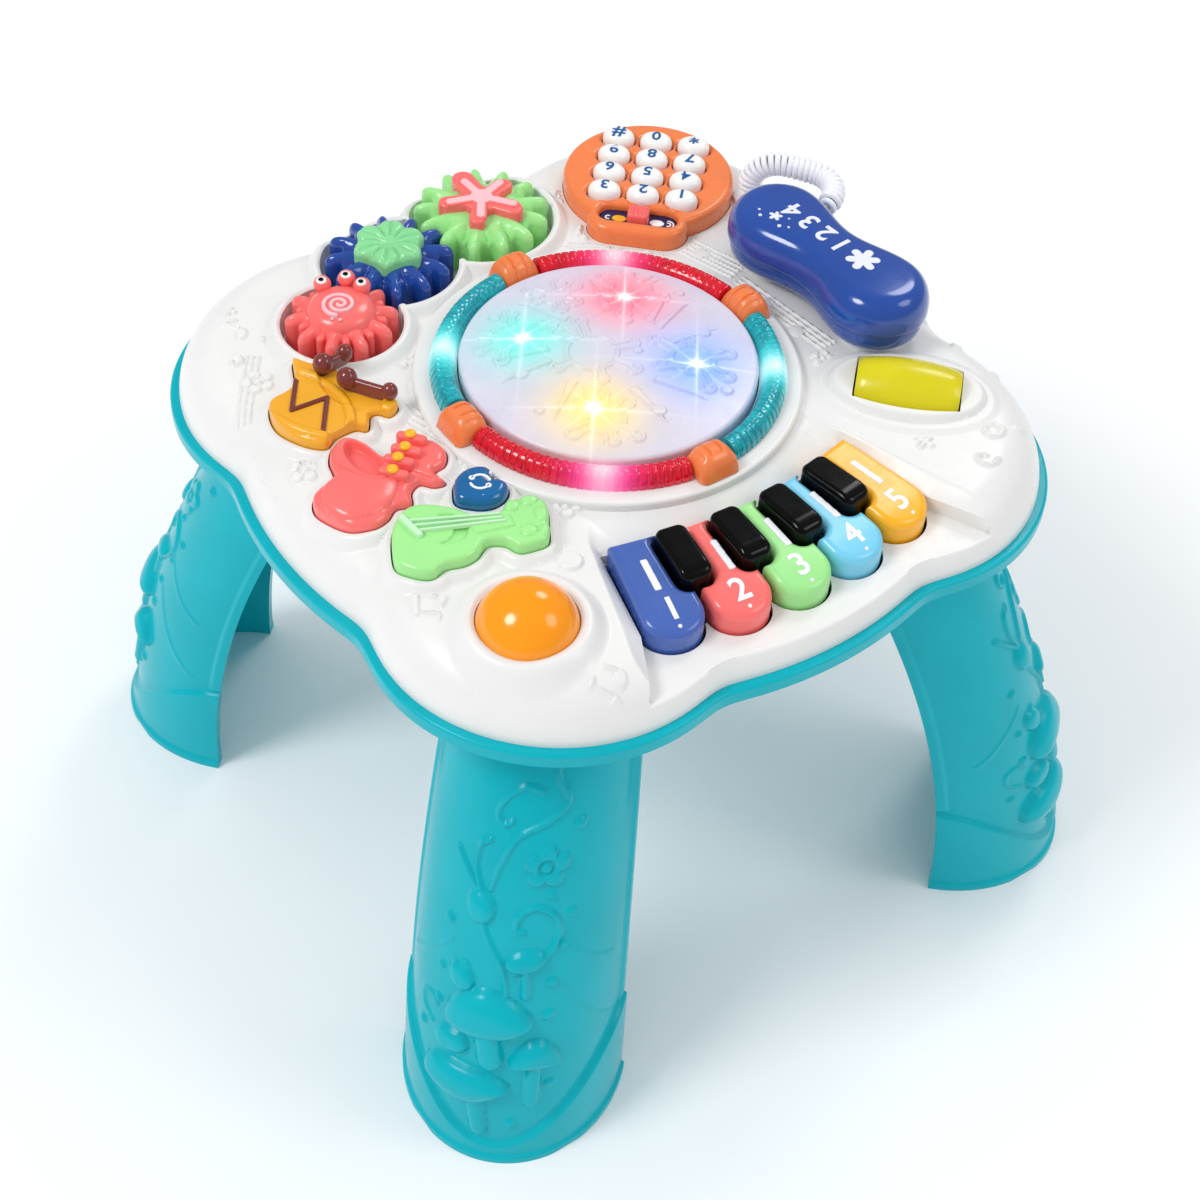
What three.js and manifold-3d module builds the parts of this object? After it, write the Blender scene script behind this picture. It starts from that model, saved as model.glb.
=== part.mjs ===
// Musical activity table for small children: a lobed table top on four arched legs,
// carrying a keyboard, a light ring, a toy telephone, gears, a ball, a roller and
// instrument buttons. Millimetres, +Z up, origin on the floor under the centre.
// The keyboard faces -Y, the telephone lies along +X, the gears run along +Y.
// Heights of the table top, its pieces and what the base holds are measured from the rim.

import * as THREE from 'three';
import { mergeVertices } from 'three/addons/utils/BufferGeometryUtils.js';
import Module from 'manifold-3d';

const wasm = await Module();
wasm.setup();

// Fits shared by the whole part
const seatGap = 0.3;          // between pieces that rest on each other
const runningGap = 0.6;       // round a piece that moves
const overrun = 4;            // how far a cut passes the face it opens
const mergeReach = 0.0003;    // points closer than this are one
const shellWall = 2.6;
const turn = Math.PI * 2;
const quarter = Math.PI / 2;
const degree = Math.PI / 180;

// Plan of the table: four corner lobes and four shallow side bulges
const rimHeight = 237;
const lobeCentre = 72.2;
const lobeRadius = 57.3;
const sideCentre = -14.8;
const sideRadius = 143;
const outlineGrow = 39.4;
const notchSharpness = 39;
const notchAngle = 18.6 * degree;
const sideCount = 4;
const sideSpans = 3;
const lobeSpans = 9;

// White top shell
const edgeInset = 24;
const edgeRise = 26;
const pedestalRise = 31;
const pedestalRadius = 88;
const edgeSteps = 3;

// Turquoise base shell
const rimProud = 4.5;
const rimThickness = 8;
const rimRound = 1.6;
const flangeInset = 5;
const bowlUpperInset = 16;
const bowlUpperDrop = 13;
const bowlLowerInset = 40;
const bowlLowerDrop = 34;
const bowlFloorInset = 52;
const bowlFloorDrop = 40;
const baseWall = 3;
const rimLand = 4;

// Legs: open-backed arched shells with a raised foot cuff
const legReach = 247;
const legOuterLean = 0.1;
const legOuterSweep = 870;
const legInnerReach = 188;
const legInnerSweep = 690;
const legHalfWidth = 49;
const legSideSweep = 5400;
const legWall = 3;
const legBead = 1.4;
const legBeadHeight = 4;
const cuffProud = 2.6;
const cuffFrontHeight = 11;
const cuffSideHeight = 57;
const cuffStep = 2.2;
const legTop = rimHeight - rimThickness;
const legRows = 3;
const legSpotShares = [0, 0.36, 0.68, 0.93, 1];
const bossFoot = -45;
const bossTop = -13;
const bossLip = 6;
const bossGap = 1.9;
const bossShares = [-1, -0.68, 0, 0.68, 1];
const bossSpans = 2;
const hollowSpans = 8;

// Leg relief: a stand of toadstools on the outer face
const capBig = 15;
const capSmall = 9.5;
const capBigHeight = 62;
const capSmallHeight = 45;
const reliefSink = 2.4;
const capFlatShare = 0.62;
const stalkShare = 0.3;
const stalkLengthShare = 1.25;
const capSteps = 8;
const stalkSteps = 5;
// where each toadstool stands: a share of the quarter turn to the side, and a height
const toadstools = [
  { sideShare: -0.12, height: capBigHeight, size: capBig },
  { sideShare: 0.24, height: capSmallHeight, size: capSmall },
];

// Keyboard bay and keys
const bayRearY = -84;
const bayFrontY = -176;
const bayWaistY = -133.7;
const bayWaistHalf = 76.7;
const baySideLean = 6.5;
const bayRearHalf = 64.8;
const bayFrontHalf = 99;
const bayFloorRear = 15.5;
const bayFloorFront = 11.6;
const bayStepTop = 20;
const bayKeyGap = 1.2;
const frameHalf = 62;
const bayRimInset = 10.6;
const bayRearSpans = 6;
const keyCount = 5;
const keyboardCentreY = 87.5;
const keyArc = 214;
const keyPitch = 28.6;
const keyFan = 6.3 * degree;
const keyLength = 53;
const keyRearHalf = 12.2;
const keyFrontHalf = 13.7;
const keyNose = 12;
const keyTop = 27;
const keyBottom = 11;
const keyFall = 4;
const keyBevel = 2;
const keyTongueWidth = 7;
const keyTongueHeight = 4;
const keyPivotBehind = 9;
const keyPivotRadius = 2;
const keyPivotHeight = 17;
const keyPivotLength = 15;
const keyNoseSteps = 8;
const blackHalfWidth = 8.2;
const blackLength = 30;
const blackTop = 33.5;
const blackArc = 204;
const blackPitch = 27;
const blackBevel = 2.2;
const frameTop = 8.2;
const frameThickness = 3;
const frameRearY = -78;
const frameFrontY = -117;
const ribThickness = 2;
const ribLength = 7.5;
const ribRise = 1.6;

// Light lens, ring and clamps
const lensRadius = 67.4;
const lensSkirt = 5.3;
const lensEdgeRise = 9.3;
const lensTopRise = 13.5;
const lensWall = 2.4;
const lensFlange = 2.6;
const lensLip = 2;
const ringCentre = 74.3;
const ringHalfWidth = 6.2;
const ringHeight = 8;
const ringBore = 3;
const ringSteps = 8;
const archSteps = 8;
const lensSteps = 26;
const lensCrownShare = 0.6;
const lensCrownDrop = 1.7;
const clampHalfAngle = 8.2 * degree;
const clampInner = 68.2;
const clampOuter = 86;
const clampHeight = 12;
const clampHalfWidth = 10;
const clampTaperShare = 0.8;
const clampFullness = 0.7;

// Instrument buttons: each outline is a table of shares of its size, about its centre
const figureTop = 36;
const figureBevel = 2.4;
const figureSkirt = 16.3;
const islandTop = 28.5;
const islandFoot = 20;
const islandMargin = 4;
const drumCentre = [-119, 45];
const drumSize = 52;
const drumShares = [
  [-0.5, -0.02], [-0.47, 0.15], [-0.39, 0.26], [-0.23, 0.29], [-0.1, 0.36], [-0.04, 0.5],
  [0.04, 0.65], [0.12, 0.58], [0.19, 0.45], [0.35, 0.44], [0.42, 0.51], [0.49, 0.43],
  [0.42, 0.34], [0.29, 0.31], [0.36, 0.15], [0.32, -0.04], [0.4, -0.17], [0.49, -0.19],
  [0.49, -0.33], [0.38, -0.39], [0.31, -0.31], [0.23, -0.31], [0.13, -0.44], [0.04, -0.38],
  [-0.15, -0.39], [-0.27, -0.45], [-0.39, -0.35], [-0.47, -0.19],
];
const saxCentre = [-122, -7];
const saxSize = 64;
const saxShares = [
  [-0.52, -0.06], [-0.5, 0.06], [-0.41, 0.12], [-0.28, 0.16], [-0.23, 0.31], [-0.14, 0.42],
  [-0.03, 0.42], [0.05, 0.3], [0.09, 0.12], [0.23, 0.18], [0.36, 0.19], [0.46, 0.11],
  [0.48, -0.02], [0.41, -0.12], [0.31, -0.15], [0.32, -0.27], [0.24, -0.26], [0.17, -0.19],
  [0.08, -0.23], [0.02, -0.33], [-0.09, -0.31], [-0.19, -0.37], [-0.31, -0.38], [-0.44, -0.29],
];
const guitarCentre = [-110, -57];
const guitarSize = 72;
const guitarShares = [
  [-0.49, 0], [-0.45, 0.12], [-0.35, 0.27], [-0.22, 0.35], [-0.1, 0.32], [0.02, 0.21],
  [0.09, 0.1], [0.22, 0.04], [0.31, 0.08], [0.44, 0.05], [0.5, -0.04], [0.42, -0.19],
  [0.35, -0.29], [0.26, -0.29], [0.17, -0.26], [0.13, -0.17], [0.04, -0.12], [-0.06, -0.17],
  [-0.15, -0.18], [-0.26, -0.15], [-0.36, -0.17], [-0.44, -0.11],
];
const heartCentre = [-91, -36];
const heartSize = 11.8;
const heartBearing = 188 * degree;
const heartSteps = 18;
const heartNotch = { depthShare: 0.22, spreadShare: 0.35 };
const heartPoint = { depthShare: 0.16, spreadShare: 0.45 };
const buttonTravel = 2;

// Ball in its collar
const ballCentre = [-116.2, -109.7];
const ballHeight = 25;
const ballRadius = 22;
const ballCollarTop = 32.5;
const ballCollarWide = 30.5;
const ballCollarCrown = 25;
const ballWellDepth = 25;
const axlePin = 2.5;
const axleReach = 3.6;
const ballAxleBearing = -45 * degree;
const ballSteps = 16;
const ballWellSteps = 24;

// Roller in its oval collar
const rollerCentre = [109, -80.3];
const rollerHeight = 24.5;
const rollerLength = 47;
const rollerEndRadius = 13.5;
const rollerMidRadius = 16.5;
const rollerBearing = -45 * degree;
const rollerCollarTop = 31;
const rollerCollarHalf = 21.5;
const rollerCollarLength = 70;
const rollerWellMargin = 0.8;
const rollerWellDepth = 21;
const rollerRings = 4;

// Telephone handset
const handsetCentre = [119.6, -5.7];
const handsetBearing = 5 * degree;
const handsetLobe = 24.2;
const handsetReach = 33;
const handsetWaist = 18;
const handsetBottom = 30.4;
const handsetSeam = 42;
const handsetTop = 60;
const handsetWall = 2.2;
const handsetRound = 7;
const handsetFlare = 3;
const cradleRadius = 16;
const cupDepth = 3;
const lobeSteps = 6;
const waistSteps = 4;
const domeSteps = 2;

// Telephone keypad plate, buttons and volume switch
const padCentre = [98.5, 106.5];
const padRadius = 42;
const padSeat = 25;
const padTop = 36.5;
const padBevel = 4;
const padWell = 35;
const padRim = 1.3;
const padBearing = 46 * degree;
const numberHalfX = 6.3;
const numberHalfY = 8;
const numberSides = 8;
const numberTop = 41.5;
const numberRow = 18.9;
const numberColumn = 15.1;
const numberColumns = 4;
const numberRows = 3;
const numberShift = 2;
const numberBevel = 2;
const flangeReach = 1;
const flangeThickness = 1.4;
const panelShift = 34.5;
const panelHalfLength = 24.5;
const panelHalfWidth = 13.5;
const panelCorner = 12;
const panelTop = 35;
const panelSteps = 3;
const windowHalfLength = 19;
const windowHalfWidth = 6.3;
const windowCorner = 5.8;
const windowFloor = 31.6;
const knobHalfLength = 5.2;
const knobHalfWidth = 4.6;
const knobTop = 38.2;
const knobTravel = 6;
const knobStem = 2;
const knobStemFoot = 27;

// Gear train: green drives blue, blue drives pink
const gearModule = 4.5;
const greenTeeth = 13;
const blueTeeth = 12;
const pinkTeeth = 10;
const toothHeight = 3.4;
const toothDepth = 4.2;
const pressureAngle = 20 * degree;
const toothFillShare = 0.43;
const rootShare = 0.62;
const tipShare = 0.85;
const greenPhaseShare = 0.3;
const halfPitch = 0.5;
const greenCentre = [12.7, 125.4];
const blueBearing = 187.1 * degree;
const pinkBearing = 213 * degree;
const gearFloor = 16;
const gearTop = 38;
const toothBevel = 1.1;
const capBevel = 2.2;
const gearWellGap = 2.4;
const gearCollarTop = 31.5;
const gearCollarSlope = 3.4;
const gearCollarFoot = 22;
const gearClear = 1.2;
const gearShaft = 4;
const gearShaftFoot = 9;
const splashRadius = 18.5;
const splashWave = 6.5;
const splashArms = 5;
const splashTop = 43;
const flowerRadius = 16;
const flowerWave = 2.2;
const flowerArms = 6;
const waveSteps = 6;
const flowerTop = 44;
const crabRadius = 19;
const crabTop = 43;
const crabEye = 4.6;
const crabEyes = [[13, -7], [17, 1], [11, 11]];
const capPin = 3;
const capPinDepth = 6;

// Curly cord and its grommet
const cordWire = 1.6;
const coilRadius = 4.4;
const coilPitch = 3.6;
const curlSteps = 8;
const cordSides = 5;
const cordRoot = [135, 73];
// the cord's route from its grommet to the handset's outer side, chosen by hand
const cordRoute = [
  [135, 73, 29.6], [135, 73, 32.5], [135, 73, 35], [135.8, 72.1, 41.1],
  [138, 69.4, 46.3], [141.3, 65.4, 49.8], [145.3, 60.7, 51], [149.5, 55.7, 50.6],
  [153.4, 50.6, 50.2], [156.6, 45.6, 49.8], [157.6, 41, 49.2], [156.4, 36, 48.7],
  [153.3, 31.6, 48.1], [148.9, 28.6, 47.6], [143.7, 27.4, 47], [141.3, 27.4, 47],
];
const straightShare = 1.5;    // straight at each end, in wire widths
const rampCurls = 1.5;        // curls over which the coil opens to its full width
const nearShare = 2.5;        // wire widths within which a wire is its own neighbour
const cordSamples = 3;
const grommetRadius = 7.2;
const grommetNeck = 3;
const grommetTop = 29.3;
const grommetFoot = 18;

// Inside the base: speaker, batteries, boards
const speakerRadius = 26;
const speakerHeight = 12;
const speakerMagnet = 13;
const speakerCentre = [0, -62];
const slotHalfWidth = 1.3;
const slotPitch = 6;
const slotCount = 7;
const slotInset = 3;
const doorHalfX = 36;
const doorHalfY = 29;
const doorCentre = [0, 30];
const doorThickness = 2.4;
const doorCorner = 4;
const boxWall = 2;
const boxHeight = 20;
const cellRadius = 7.1;
const cellLength = 50.5;
const cellNub = 2.7;
const cellNubHeight = 1;
const cellCount = 3;
const postSpan = 40;
const postRadius = 4;
const postPin = 2.4;
const boardTop = -15;
const boardThickness = 1.6;
const boardHalfX = 60;
const boardHalfY = 60;
const lightBoardTop = 10;
const lightBoardRadius = 60;
const ledRadius = 2.5;
const ledHeight = 6;
const ledSpan = 28;

// Faces round a full turn
const wellSteps = 18;
const roundSteps = 16;
const smallSteps = 10;
const pinSteps = 8;

// Colours
const white = 0xf1f1ee;
const turquoise = 0x10bfcd;
const red = 0xe00a30;
const teal = 0x0fa5b4;
const orange = 0xfa8c4b;
const blue = 0x19469b;
const pink = 0xfa706c;
const green = 0xa0e68c;
const yellow = 0xdcd200;
const amber = 0xffb41e;
const gold = 0xf0a81e;
const lightBlue = 0x78cdeb;
const keyBlue = 0x4664af;
const heartBlue = 0x0a64a0;
const lavender = 0xd8d8f0;
const black = 0x08080a;
const boardGreen = 0x1f6b3a;
const steel = 0xb8bcc0;

// Solids

function toSolid(geometry) {
  const bare = geometry.clone();
  for (const name of Object.keys(bare.attributes)) {
    if (name !== 'position') {
      bare.deleteAttribute(name);
    }
  }
  const merged = mergeVertices(bare, mergeReach);
  const mesh = new wasm.Mesh({
    numProp: 3,
    vertProperties: Float32Array.from(merged.attributes.position.array),
    triVerts: Uint32Array.from(merged.index.array),
  });
  const solid = new wasm.Manifold(mesh);
  if (solid.volume() > 0) {
    return solid;
  }
  const flipped = Uint32Array.from(merged.index.array);
  for (let i = 0; i < flipped.length; i += 3) {
    const keep = flipped[i];
    flipped[i] = flipped[i + 1];
    flipped[i + 1] = keep;
  }
  return new wasm.Manifold(new wasm.Mesh({
    numProp: 3,
    vertProperties: mesh.vertProperties,
    triVerts: flipped,
  }));
}

function toGeometry(solid) {
  const mesh = solid.getMesh();
  const geometry = new THREE.BufferGeometry();
  const points = new Float32Array(mesh.numVert * 3);
  for (let i = 0; i < mesh.numVert; i += 1) {
    for (let axis = 0; axis < 3; axis += 1) {
      points[i * 3 + axis] = mesh.vertProperties[i * mesh.numProp + axis];
    }
  }
  geometry.setAttribute('position', new THREE.BufferAttribute(points, 3));
  geometry.setIndex(new THREE.BufferAttribute(Uint32Array.from(mesh.triVerts), 1));
  return geometry;
}

function join(solids) {
  return solids.reduce((whole, solid) => whole.add(solid));
}

// Closed rings of equal count, one above the other, with flat ends
function loft(given) {
  const side = Math.sign(THREE.ShapeUtils.area(given[0]));
  const rings = side < 0 ? given.map((ring) => [...ring].reverse()) : given;
  const count = rings[0].length;
  const points = rings.flat();
  const faces = [];
  for (let row = 0; row + 1 < rings.length; row += 1) {
    for (let i = 0; i < count; i += 1) {
      const a = row * count + i;
      const b = row * count + (i + 1) % count;
      faces.push(a, b, b + count, a, b + count, a + count);
    }
  }
  for (const row of [0, rings.length - 1]) {
    const flat = rings[row].map((point) => new THREE.Vector2(point.x, point.y));
    for (const [a, b, c] of THREE.ShapeUtils.triangulateShape(flat, [])) {
      const base = row * count;
      faces.push(...(row === 0 ? [base + c, base + b, base + a] : [base + a, base + b, base + c]));
    }
  }
  const geometry = new THREE.BufferGeometry().setFromPoints(points);
  geometry.setIndex(faces);
  return toSolid(geometry);
}

function prism(outline, low, high) {
  const shape = new THREE.Shape(outline.map(([x, y]) => new THREE.Vector2(x, y)));
  const geometry = new THREE.ExtrudeGeometry(shape, { depth: high - low, bevelEnabled: false });
  return toSolid(geometry.translate(0, 0, low));
}

// A prism whose top edge is rounded over by the bevel; slope tips it along Y
function softPrism(outline, low, high, bevel, steps = 1, slope = 0) {
  const rings = [[0, low], [0, high - bevel]];
  for (let i = 1; i <= steps; i += 1) {
    const angle = quarter * i / steps;
    rings.push([bevel * (1 - Math.cos(angle)), high - bevel + bevel * Math.sin(angle)]);
  }
  return loft(rings.map(([inset, z]) =>
    offsetOutline(outline, -inset).map(([x, y]) => new THREE.Vector3(x, y, z + slope * y))));
}

function rod(radius, low, high, steps = roundSteps) {
  const geometry = new THREE.CylinderGeometry(radius, radius, high - low, steps);
  return toSolid(geometry.rotateX(quarter).translate(0, 0, (low + high) / 2));
}

// A rod along X, centred on the origin
function crossRod(radius, length, steps = pinSteps) {
  return toSolid(new THREE.CylinderGeometry(radius, radius, length, steps).rotateZ(quarter));
}

function box(width, depth, low, high) {
  const geometry = new THREE.BoxGeometry(width, depth, high - low);
  return toSolid(geometry.translate(0, 0, (low + high) / 2));
}

// A profile of [radius, height] pairs turned round Z
function revolve(profile, steps = roundSteps) {
  const points = profile.map(([radius, height]) => new THREE.Vector2(radius, height));
  return toSolid(new THREE.LatheGeometry(points, steps).rotateX(quarter));
}

function ellipse(halfX, halfY, steps = roundSteps) {
  return Array.from({ length: steps }, (_, i) => {
    const angle = turn * i / steps;
    return [halfX * Math.cos(angle), halfY * Math.sin(angle)];
  });
}

// A rectangle with round corners
function roundedBox(halfX, halfY, corner, cornerSteps = 2) {
  const outline = [];
  for (let side = 0; side < sideCount; side += 1) {
    const signX = side === 0 || side === 3 ? 1 : -1;
    const signY = side < 2 ? 1 : -1;
    for (let i = 0; i <= cornerSteps; i += 1) {
      const angle = quarter * (side + i / cornerSteps);
      outline.push([
        signX * (halfX - corner) + corner * Math.cos(angle),
        signY * (halfY - corner) + corner * Math.sin(angle),
      ]);
    }
  }
  return outline;
}

function placeOutline(outline, [x, y], angle = 0) {
  const cos = Math.cos(angle);
  const sin = Math.sin(angle);
  return outline.map(([px, py]) => [x + px * cos - py * sin, y + px * sin + py * cos]);
}

function outlineArea(outline) {
  return THREE.ShapeUtils.area(outline.map(([x, y]) => new THREE.Vector2(x, y)));
}

// The outline moved outward by the given distance, corner by corner
function offsetOutline(outline, distance) {
  const side = Math.sign(outlineArea(outline));
  return outline.map(([x, y], i) => {
    const before = outline[(i + outline.length - 1) % outline.length];
    const after = outline[(i + 1) % outline.length];
    const inDirection = new THREE.Vector2(x - before[0], y - before[1]).normalize();
    const outDirection = new THREE.Vector2(after[0] - x, after[1] - y).normalize();
    const along = inDirection.clone().add(outDirection).normalize();
    const spread = Math.max(along.dot(inDirection), Math.SQRT1_2);
    const reach = side * distance / spread;
    return [x + along.y * reach, y - along.x * reach];
  });
}

// The outline that a tight band round the given points would take
function hullOutline(outline) {
  const sorted = [...outline].sort((a, b) => a[0] - b[0] || a[1] - b[1]);
  const cross = (o, a, b) => (a[0] - o[0]) * (b[1] - o[1]) - (a[1] - o[1]) * (b[0] - o[0]);
  const chain = (points) => {
    const hull = [];
    for (const point of points) {
      while (hull.length > 1 && cross(hull[hull.length - 2], hull[hull.length - 1], point) <= 0) {
        hull.pop();
      }
      hull.push(point);
    }
    return hull.slice(0, -1);
  };
  return [...chain(sorted), ...chain(sorted.reverse())];
}

// Plan of the body

// Far side of a circle, seen from the centre along a bearing
function circleReach(angle, x, y, radius) {
  const along = x * Math.cos(angle) + y * Math.sin(angle);
  const inside = along * along - (x * x + y * y - radius * radius);
  return inside > 0 ? along + Math.sqrt(inside) : 0;
}

function bodyReach(angle, inset) {
  const local = angle - Math.round(angle / quarter) * quarter;
  const lobe = Math.max(
    circleReach(local, lobeCentre, lobeCentre, lobeRadius),
    circleReach(local, lobeCentre, -lobeCentre, lobeRadius));
  const side = circleReach(local, sideCentre, 0, sideRadius);
  const longer = Math.max(lobe, side);
  const shorter = Math.min(lobe, side);
  const blend = (1 + (shorter / longer) ** notchSharpness) ** (1 / notchSharpness);
  return longer * blend + outlineGrow - inset;
}

// Bearings of the outline points: the notches, and even steps between them
function bodyAngles() {
  const angles = [];
  for (let side = 0; side < sideCount; side += 1) {
    for (let i = 0; i < sideSpans; i += 1) {
      angles.push(side * quarter + notchAngle * (i / sideSpans * 2 - 1));
    }
    for (let i = 0; i < lobeSpans; i += 1) {
      angles.push(side * quarter + notchAngle + (quarter - notchAngle * 2) * i / lobeSpans);
    }
  }
  return angles;
}

function bodyRing(inset, z) {
  return bodyAngles().map((angle) => {
    const reach = bodyReach(angle, inset);
    return new THREE.Vector3(reach * Math.cos(angle), reach * Math.sin(angle), z);
  });
}

// Rounded edge, level top and centre pedestal of the table top
function domeSolid(inset, foot) {
  const rings = [bodyRing(inset, foot)];
  for (let i = 1; i <= edgeSteps; i += 1) {
    const angle = quarter * i / edgeSteps;
    const depth = inset + (edgeInset - inset) * (1 - Math.cos(angle));
    rings.push(bodyRing(depth, (edgeRise - inset) * Math.sin(angle)));
  }
  const pedestal = rod(pedestalRadius - inset, 0, pedestalRise - inset, lensSteps);
  return loft(rings).add(pedestal);
}

// Legs

function legPoint(share, z, grow) {
  const angle = share * quarter;
  const inside = legInnerReach - z * z / legInnerSweep;
  const outside = legReach - legOuterLean * z - z * z / legOuterSweep;
  const half = legHalfWidth - z * z / legSideSweep;
  return new THREE.Vector3(
    inside + (outside + grow - inside) * Math.cos(angle),
    (half + grow) * Math.sin(angle), z);
}

function legShares() {
  const right = legSpotShares.slice(1);
  return [...right.map((share) => -share).reverse(), 0, ...right];
}

// Rows up the leg as [height, how far the outer face stands out]
function legColumn(share) {
  const side = Math.sin(share * quarter) ** 2;
  const cuff = cuffFrontHeight + (cuffSideHeight - cuffFrontHeight) * side;
  const edge = Math.abs(share) >= legSpotShares[legSpotShares.length - 2] ? legBead : 0;
  const column = [
    [0, cuffProud + legBead],
    [legBeadHeight, cuffProud + legBead],
    [legBeadHeight + legBead, cuffProud],
    [cuff - cuffStep, cuffProud],
    [cuff, edge],
  ];
  for (let i = 1; i <= legRows; i += 1) {
    column.push([cuff + (legTop - cuff) * i / legRows, edge]);
  }
  return column;
}

function legShell() {
  const shares = legShares();
  const outer = shares.map((share) =>
    legColumn(share).map(([z, grow]) => legPoint(share, z, grow)));
  const inner = shares.map((share) =>
    legColumn(share).map(([z]) => legPoint(share, z, -legWall)));
  const rows = outer[0].length;
  const columns = shares.length;
  const points = [...outer.flat(), ...inner.flat()];
  const back = rows * columns;
  const faces = [];
  const quad = (a, b, c, d) => faces.push(a, b, c, a, c, d);
  for (let i = 0; i + 1 < columns; i += 1) {
    for (let j = 0; j + 1 < rows; j += 1) {
      const a = i * rows + j;
      quad(a, a + rows, a + rows + 1, a + 1);
      quad(back + a, back + a + 1, back + a + rows + 1, back + a + rows);
    }
    const low = i * rows;
    const high = low + rows - 1;
    quad(low, back + low, back + low + rows, low + rows);
    quad(high, high + rows, back + high + rows, back + high);
  }
  for (let j = 0; j + 1 < rows; j += 1) {
    const far = (columns - 1) * rows + j;
    quad(j, j + 1, back + j + 1, back + j);
    quad(far, back + far, back + far + 1, far + 1);
  }
  const geometry = new THREE.BufferGeometry().setFromPoints(points);
  geometry.setIndex(faces);
  return toSolid(geometry);
}

function toadstool({ sideShare, height, size }) {
  const spot = legPoint(sideShare, height, -reliefSink);
  const foot = legPoint(sideShare, height - size * stalkLengthShare, -reliefSink);
  const cap = new THREE.SphereGeometry(size, capSteps, capSteps / 2);
  cap.rotateX(quarter).scale(capFlatShare, 1, capFlatShare).rotateZ(sideShare * quarter);
  const radius = size * stalkShare;
  const length = spot.z - foot.z;
  const stalk = new THREE.CylinderGeometry(radius, radius, length, stalkSteps).rotateX(quarter);
  stalk.translate((spot.x + foot.x) / 2, (spot.y + foot.y) / 2, (spot.z + foot.z) / 2);
  cap.translate(spot.x, spot.y, spot.z);
  return toSolid(cap).add(toSolid(stalk));
}

// The leg's room filled in, out to the given distance behind its open edge
function filledLeg(grow, low, high, lip, spans, shares) {
  const rings = Array.from({ length: spans + 1 }, (_, i) => {
    const z = low + (high - low) * i / spans;
    const ring = shares.map((share) => legPoint(share, z, grow));
    const last = ring[ring.length - 1];
    return [...ring, new THREE.Vector3(last.x - lip, last.y, z),
      new THREE.Vector3(last.x - lip, -last.y, z)];
  });
  return loft(rings);
}

function bowlProfile(grow) {
  return [
    [bowlFloorInset - grow, -bowlFloorDrop - grow],
    [bowlLowerInset - grow, -bowlLowerDrop - grow],
    [bowlUpperInset - grow, -bowlUpperDrop - grow],
    [flangeInset - grow, -rimThickness - grow],
    [-rimProud + rimRound - grow, -rimThickness - grow],
    [-rimProud - grow, -rimThickness + rimRound - grow],
    [-rimProud - grow, -rimRound],
    [-rimProud + rimRound - grow, 0],
  ];
}

function bowlSolid(grow) {
  return loft(bowlProfile(grow).map(([inset, z]) => bodyRing(inset, z)));
}

function makeLeg() {
  const relief = join(toadstools.map(toadstool));
  const hollow = filledLeg(
    -legWall / 2, -overrun, legTop + overrun, legHalfWidth, hollowSpans, legShares());
  const bowl = bowlSolid(seatGap).rotate([0, 0, -quarter / 2 / degree]).translate([0, 0, rimHeight]);
  return legShell().add(relief.subtract(hollow)).subtract(bowl);
}

// Base shell

// Bearing of a leg from the centre
function legBearing(index) {
  return quarter * index + quarter / 2;
}

function legBoss() {
  const boss = filledLeg(
    -legWall - bossGap, rimHeight + bossFoot, rimHeight + bossTop, bossLip, bossSpans, bossShares);
  return boss.translate([0, 0, -rimHeight]);
}

function speakerSlots() {
  const floor = -bowlFloorDrop;
  const slots = [];
  for (let i = 0; i < slotCount; i += 1) {
    const offset = (i - (slotCount - 1) / 2) * slotPitch;
    const half = Math.sqrt((speakerRadius - slotInset) ** 2 - offset ** 2);
    slots.push(box(half * 2, slotHalfWidth * 2, floor - overrun, floor + baseWall + overrun)
      .translate([speakerCentre[0], speakerCentre[1] + offset, 0]));
  }
  return join(slots);
}

function batteryBox() {
  const floor = -bowlFloorDrop;
  const outer = prism(
    roundedBox(doorHalfX + boxWall, doorHalfY + boxWall, doorCorner + boxWall), floor, floor + boxHeight);
  return outer.translate([doorCentre[0], doorCentre[1], 0]);
}

function batteryBay() {
  const floor = -bowlFloorDrop;
  const door = prism(
    roundedBox(doorHalfX + seatGap, doorHalfY + seatGap, doorCorner), floor - overrun,
    floor + doorThickness + seatGap);
  const bay = prism(
    roundedBox(doorHalfX - boxWall, doorHalfY - boxWall, doorCorner), floor - overrun,
    floor + boxHeight - boxWall);
  return door.add(bay).translate([doorCentre[0], doorCentre[1], 0]);
}

function posts(radius, low, high) {
  const spots = [[1, 1], [1, -1], [-1, 1], [-1, -1]];
  return join(spots.map(([x, y]) =>
    rod(radius, low, high, pinSteps).translate([x * postSpan, y * postSpan, 0])));
}

function makeBaseShell() {
  const floor = -bowlFloorDrop;
  const inside = loft([
    bodyRing(bowlFloorInset + baseWall, floor + baseWall),
    bodyRing(bowlLowerInset + baseWall, -bowlLowerDrop + baseWall),
    bodyRing(bowlUpperInset + baseWall, -bowlUpperDrop + baseWall),
    bodyRing(rimLand, -rimThickness + baseWall),
    bodyRing(rimLand, overrun),
  ]);
  const bosses = Array.from({ length: sideCount }, (_, side) =>
    legBoss().rotate([0, 0, legBearing(side) / degree]));
  const hollow = bowlSolid(0).add(join(bosses)).subtract(inside);
  const fitted = hollow
    .add(batteryBox())
    .add(posts(postRadius, floor + baseWall / 2, boardTop - boardThickness - seatGap))
    .add(posts(postPin, boardTop - boardThickness - overrun, lightBoardTop - boardThickness - seatGap));
  return fitted.subtract(batteryBay()).subtract(speakerSlots());
}

// Top shell wells: each has the moulded body it stands in and the space cut from it

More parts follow.
